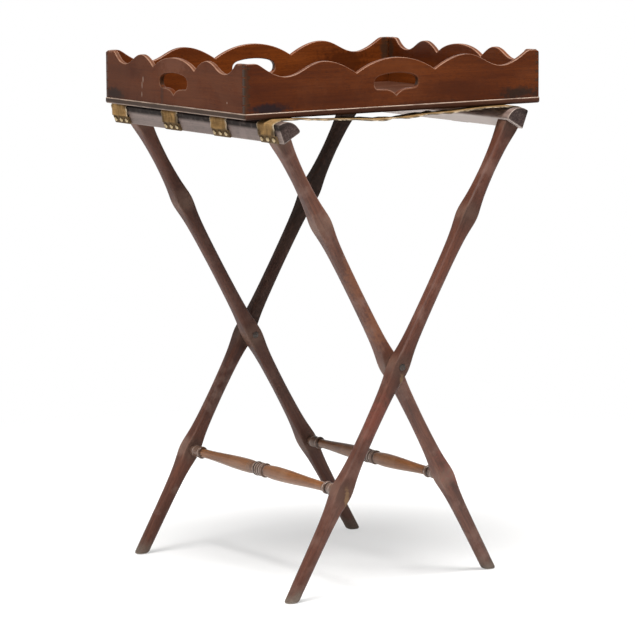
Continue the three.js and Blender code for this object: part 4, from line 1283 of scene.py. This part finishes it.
def pinSolid(way, end, rise):
    # A pin of the end board through the long side's thickness; its outer corner follows the round corner.
    s = trayShape
    outside, face, bend = s["length"] / 2, s["width"] / 2, s["cornerRound"]
    inside, start = outside - s["side"], face - s["side"] - 1.2
    plan = [(inside, start), (outside, start)]
    plan += [(outside - bend * (1 - cosine), face - bend * (1 - sine)) for sine, cosine in quarter(6)]
    plan.append((inside, face))
    points = []
    for sign in (-1, 1):
        for x, y in plan:
            half = s["pinNarrow"] / 2 + s["pinSlope"] * (outside - x)
            points.append((end * x, way * y, rise + sign * half))
    faces = loftFaces(2, len(plan))
    return points, [face[::-1] for face in faces] if way * end < 0 else faces


def makeEndSide(name, end, material, node):
    s = trayShape
    half = s["width"] / 2 - s["side"] - s["jointGap"]
    loop = []
    for u, *row in sideLoop(s["width"], endEdge, False):  # the board stops between the long sides
        cut = max(-half, min(half, u))
        if not loop or math.dist(loop[-1][:2], (cut, row[0])) > 1e-6:
            loop.append((cut, *row))
    points, faces = easedPrism([loop, handHoleLoop(s["holeEase"])], s["side"], 5, s["flatBand"])
    points = [(end * (s["length"] / 2 - w), -end * u, v) for u, v, w in points]
    faces = [face[::-1] for face in faces]
    for way in (-1, 1):
        for i in range(s["pinCount"]):
            morePoints, moreFaces = pinSolid(way, end, s["lowestPin"] + i * s["pinPitch"])
            faces += [tuple(index + len(points) for index in face) for face in moreFaces]
            points += morePoints
    makeBoard(name, points, faces, material, node, 1)


mahoganyLook = {
    "grain": {"Figure": 18.0, "Fineness": 300.0, "Wander": 0.007},
    "dark": (0.05, 0.0092, 0.0015), "light": (0.148, 0.034, 0.0052),
    "streak": (0.045, 0.0085, 0.0018), "streakShare": 0.5, "pore": (0.02, 0.006, 0.003), "poreShare": 0.5,
    "dustAndSheen": (0.13, 0.038, 0.012), "hazeScale": 18.0, "hazeCover": 0.5, "dustAndSheenShare": 0.2,
    "wear": (0.5, 0.31, 0.22), "wearShare": 0.5, "wearPatches": 30.0,
    "end": (0.04, 0.024, 0.015), "endShare": 0.8, "gloss": (0.34, 0.28), "specular": 0.17,
    "waves": (18.0, 0.0006), "bump": 0.35,
}
insideLook = {
    **mahoganyLook, "dark": (0.07, 0.013, 0.0025), "light": (0.205, 0.049, 0.008),
    "streak": (0.06, 0.012, 0.0027),
}
front, back, left, right = -0.2261, 0.2149, -0.2965, 0.2875  # planes of the seen faces, in metres
makeLongSide("trayFront", -1, makeWood("frontWood", {**mahoganyLook, "endAxis": (1, 0, 0), "marks": (
    ((-0.252, front, 0.8165), (0.05, 0.03, 0.0115), 0.9, 0.5, (0.012, 0.008, 0.011)),
    ((0.250, front, 0.8185), (0.053, 0.03, 0.014), 0.8, 0.6, (0.018, 0.012, 0.008)),
    ((-0.2945, front, 0.850), (0.006, 0.012, 0.06), 0.4, 0.3, (0.028, 0.022, 0.014)),
    ((0.0, front, 0.874), (0.13, 0.03, 0.018), 0.25, 0.5, (0.18, 0.046, 0.008)),
    ((-0.12, front, 0.826), (0.13, 0.03, 0.02), 0.4, 0.6, (0.05, 0.01, 0.002)),
    ((0.13, front, 0.832), (0.1, 0.03, 0.02), 0.4, 0.6, (0.05, 0.01, 0.002)),
    ((0.06, front, 0.8125), (0.09, 0.03, 0.004), 0.45, 0.8, (0.035, 0.012, 0.006)),
)}), "side_front")
makeLongSide("trayBack", 1, makeWood("backWood", {**insideLook, "endAxis": (1, 0, 0), "marks": (
    ((0.279, back, 0.872), (0.014, 0.012, 0.032), 0.8, 0.5, (0.035, 0.02, 0.012)),
    ((-0.18, 0.2245, 0.82), (0.06, 0.006, 0.012), 0.7, 0.6, (0.03, 0.014, 0.008)),
    ((0.12, 0.2245, 0.86), (0.05, 0.006, 0.02), 0.35, 0.8, (0.16, 0.07, 0.035)),
    ((0.19, back, 0.85), (0.07, 0.006, 0.035), 0.55, 0.7, (0.04, 0.008, 0.002)),
)}), "side_back")
makeEndSide("trayLeft", -1, makeWood("leftWood", {
    **mahoganyLook, "endAxis": (0, 1, 0), "dustAndSheen": (0.11, 0.04, 0.02), "dustAndSheenShare": 0.4, "hazeCover": 0.8,
    "dark": (0.055, 0.013, 0.004), "light": (0.14, 0.036, 0.009), "specular": 0.06,
    "marks": (
        ((left, 0.192, 0.8185), (0.03, 0.04, 0.0135), 0.85, 0.5, (0.02, 0.012, 0.009)),
        ((left, 0.0355, 0.824), (0.03, 0.006, 0.03), 0.6, 0.5, (0.045, 0.02, 0.012)),
        ((left, -0.005, 0.877), (0.02, 0.055, 0.022), 0.3, 0.7, (0.19, 0.08, 0.05)),
        ((left, 0.0972, 0.8475), (0.01, 0.0011, 0.007), 0.8, 0.1, (0.5, 0.4, 0.33)),
        ((left, 0.1007, 0.838), (0.01, 0.0009, 0.008), 0.7, 0.1, (0.5, 0.4, 0.33)),
        ((left, 0.1015, 0.8225), (0.01, 0.0009, 0.006), 0.7, 0.1, (0.5, 0.4, 0.33)),
        ((left, -0.1699, 0.8250), (0.01, 0.001, 0.0025), 0.8, 0.1, (0.5, 0.4, 0.33)),
    ),
}), "side_left")
makeEndSide("trayRight", 1, makeWood("rightWood", {**insideLook, "endAxis": (0, 1, 0), "marks": (
    ((right, 0.2065, 0.868), (0.02, 0.012, 0.03), 0.7, 0.5, (0.035, 0.02, 0.012)),
    ((0.2965, -0.16, 0.82), (0.006, 0.05, 0.012), 0.7, 0.6, (0.03, 0.014, 0.008)),
)}), "side_right")
print("stage: tray sides")


def makeBase():
    s = trayShape
    length, width = s["length"] + 2 * s["projection"], s["width"] + 2 * s["projection"]
    corner, foot, crown = s["cornerRound"] + s["projection"], s["footRound"], s["topRound"]
    floorInset = s["side"] + s["projection"] + stand["seatGap"]
    levels = [(foot * (1 - sine), foot * (1 - cosine)) for sine, cosine in quarter(6)]
    levels += [(0, rise) for rise in s["edgeRises"]]
    levels += [(crown * (1 - cosine), s["base"] - crown * (1 - sine)) for sine, cosine in quarter(4)]
    levels += [(floorInset, s["base"]), (floorInset, s["base"] + s["floorRise"])]
    split = s["width"] / 2 - s["narrowBoard"]
    # the shade colour paints the shade on the lower rim
    baseWood = makeWood("baseWood", {
        **mahoganyLook, "dark": (0.05, 0.018, 0.01), "light": (0.11, 0.045, 0.027),
        "streak": (0.06, 0.022, 0.013), "dustAndSheen": (0.13, 0.065, 0.042), "dustAndSheenShare": 0.25, "hazeCover": 0.6,
        "wear": (0.45, 0.34, 0.27), "wearShare": 1.0,
        "endAxis": (1, 0, 0), "end": (0.036, 0.026, 0.018), "shade": (0.035, 0.015, 0.009), "specular": 0.1,
    })

    # pale lines along the rim's top and, near the ends, its foot: partly wear, partly a painted highlight
    def rimWearAndHighlight(at):
        endGap = length / 2 - abs(at.x)
        top = clamp01(1.3 - abs(at.z - s["base"]) / 1.3)
        low = clamp01(1 - abs(at.z - 1.2) / 1.2) if endGap < 2.5 else 0.0
        return clamp01(1.2 - min(endGap, width / 2 - abs(at.y)) / 2.6) * max(top, low * 0.8)

    # painted shade: darker towards the bottom of the rim, except near its two ends
    def dirt(at):
        return smooth((6.5 - at.z) / 5) * 0.7 if length / 2 - abs(at.x) > 3 else 0.0

    for board, low, high in (("Wide", -width, split - 0.15), ("Narrow", split + 0.15, width)):
        points = []
        for inset, rise in levels:
            plan = roundedRing(length, width, corner, 8, inset, 0.05)
            points += [(x, max(low, min(high, y)), rise) for x, y in plan]
        faces = loftFaces(len(levels), len(plan))
        piece = newPiece("trayBase" + board, points, faces, baseWood, trayMatrix(), 35, True)
        settle(piece, "tray", "tray_wood", "base_board_" + board.lower(), (1, 0, 0), edge=rimWearAndHighlight, sooty=dirt)


makeBase()
for index in range(trayShape["screws"]):
    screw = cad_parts[f"base_screw_{index + 1}"]
    screw.data.materials.clear()
    screw.data.materials.append(iron)
print("stage: tray base")


# Floor, light and camera

def directlySeen(tree):
    path = addNode(tree, "LightPath")
    seen = maths(tree, "MAXIMUM", path["Is Camera Ray"], path["Is Glossy Ray"])
    return path, maths(tree, "MAXIMUM", seen, path["Is Transmission Ray"])


def makeFloor():
    material, tree, shader = newMaterial("paleFloor")
    at = addNode(tree, "TexCoord")["Object"]
    path, seen = directlySeen(tree)
    pale = mixColours(tree, noise(tree, at, 3.0, 3.0), (0.86, 0.86, 0.855), (0.9, 0.9, 0.895))
    colour = mixColours(tree, seen, (0.61, 0.61, 0.605), pale)  # less light goes back up than the camera sees
    fill(tree, shader, {"Base Color": colour, "Roughness": 0.8, "Specular IOR Level": 0.2})
    away = vectorMaths(tree, "LENGTH", {0: at})["Value"]
    share = times(tree, seen, remap(tree, away, 0.5, 1.6, 0.5, 1.0, "SMOOTHSTEP"))  # evenly white far off
    forward = addNode(tree, "SeparateXYZ", {0: at})["Y"]
    dim = times(tree, path["Is Glossy Ray"], remap(tree, forward, -1.2, -3.0, 0.0, 0.9))
    share = times(tree, share, maths(tree, "SUBTRACT", 1.0, dim))
    glow = addNode(tree, "Emission", {"Color": (1, 1, 1), "Strength": 1.0})[0]
    output = next(node for node in tree.nodes if node.type == "OUTPUT_MATERIAL")
    fill(tree, output, {"Surface": addNode(tree, "MixShader", {0: share, 1: shader.outputs[0], 2: glow})[0]})
    mesh, reach, drop = bpy.data.meshes.new("floor"), 30, 0.0006
    corners = [(x * reach, y * reach, 0) for x, y in ((-1, -1), (1, -1), (1, 1), (-1, 1))]
    mesh.from_pydata(corners, [], [(0, 1, 2, 3)])
    mesh.materials.append(material)
    floor = inScene("floor", mesh)
    floor.location.z = -drop
    return floor


def makeWorld():
    world = bpy.data.worlds.new("studio")
    bpy.context.scene.world = world
    world.use_nodes = True
    tree = world.node_tree
    tree.nodes.clear()
    toward = addNode(tree, "SeparateXYZ", {0: addNode(tree, "TexCoord")["Generated"]})
    fromLeft = remap(tree, toward["X"], -0.9, 0.9, 0.6, 0.12)
    lit = addNode(tree, "Background", {"Color": (1, 0.99, 0.975), "Strength": fromLeft})[0]
    above = remap(tree, toward["Z"], 0.1, 0.5, 1.0, 0.2, "SMOOTHSTEP")  # the sweep ends, the room is dim
    inFront = remap(tree, toward["Y"], -0.1, -0.7, 1.0, 0.25, "SMOOTHSTEP")
    path, seen = directlySeen(tree)
    strength = maths(tree, "MAXIMUM", path["Is Camera Ray"], times(tree, above, inFront))
    shown = addNode(tree, "Background", {"Color": (1, 1, 1), "Strength": strength})[0]
    addNode(tree, "OutputWorld", {"Surface": addNode(tree, "MixShader", {0: seen, 1: lit, 2: shown})[0]})


def floorList(name, state):
    # which lamps reach the floor: it has a broad one of its own, for a soft shadow under the tray
    listed = bpy.data.collections.new(name)
    listed.objects.link(floor)
    listed.collection_objects[0].light_linking.link_state = state
    return listed


def addLamp(name, place, target, size, power, colour, lit):
    light = bpy.data.lights.new(name, "AREA")
    light.shape = "RECTANGLE"
    light.size, light.size_y = size
    light.energy, light.color = power, colour
    lamp = inScene(name, light)
    lamp.location = place
    lamp.rotation_euler = (Vector(target) - Vector(place)).to_track_quat("-Z", "Y").to_euler()
    lamp.light_linking.receiver_collection = lit


def makeCamera():
    view = {
        "azimuth": math.radians(-33.4), "elevation": math.radians(8.1), "roll": -0.0058, "distance": 6.08805,
        "target": Vector((-0.026, -0.0233, 0.4332)), "focal": 3544.67, "frame": 635,
    }
    data = bpy.data.cameras.new("photoCamera")
    data.sensor_width = 36
    data.sensor_fit = "HORIZONTAL"
    data.lens = view["focal"] / view["frame"] * data.sensor_width
    data.clip_start, data.clip_end = 0.1, 100
    camera = inScene("photoCamera", data)
    flat, turn = math.cos(view["elevation"]), view["azimuth"]
    away = Vector((math.sin(turn) * flat, -math.cos(turn) * flat, math.sin(view["elevation"])))
    look = (-away).to_track_quat("-Z", "Y").to_matrix().to_4x4()
    place = Matrix.Translation(view["target"] + away * view["distance"])
    camera.matrix_world = place @ look @ Matrix.Rotation(view["roll"], 4, "Z")
    bpy.context.scene.camera = camera


floor = makeFloor()
makeWorld()
onlyFloor, notFloor = floorList("onlyFloor", "INCLUDE"), floorList("notFloor", "EXCLUDE")
addLamp("softboxLeft", (-1.85, -1.5, 4.5), (0, 0, 0.45), (1.1, 1.1), 170, (1, 0.985, 0.96), notFloor)
addLamp("softboxRight", (0.65, -1.5, 4.5), (0, 0, 0.45), (1.1, 1.1), 150, (1, 0.985, 0.96), notFloor)
addLamp("softboxFloor", (-0.62, -0.8, 4.5), (0, 0, 0), (2.9, 1.9), 480, (1, 0.99, 0.98), onlyFloor)
makeCamera()
bpy.context.scene.view_settings.view_transform = "Standard"
print("stage: floor, light and camera")
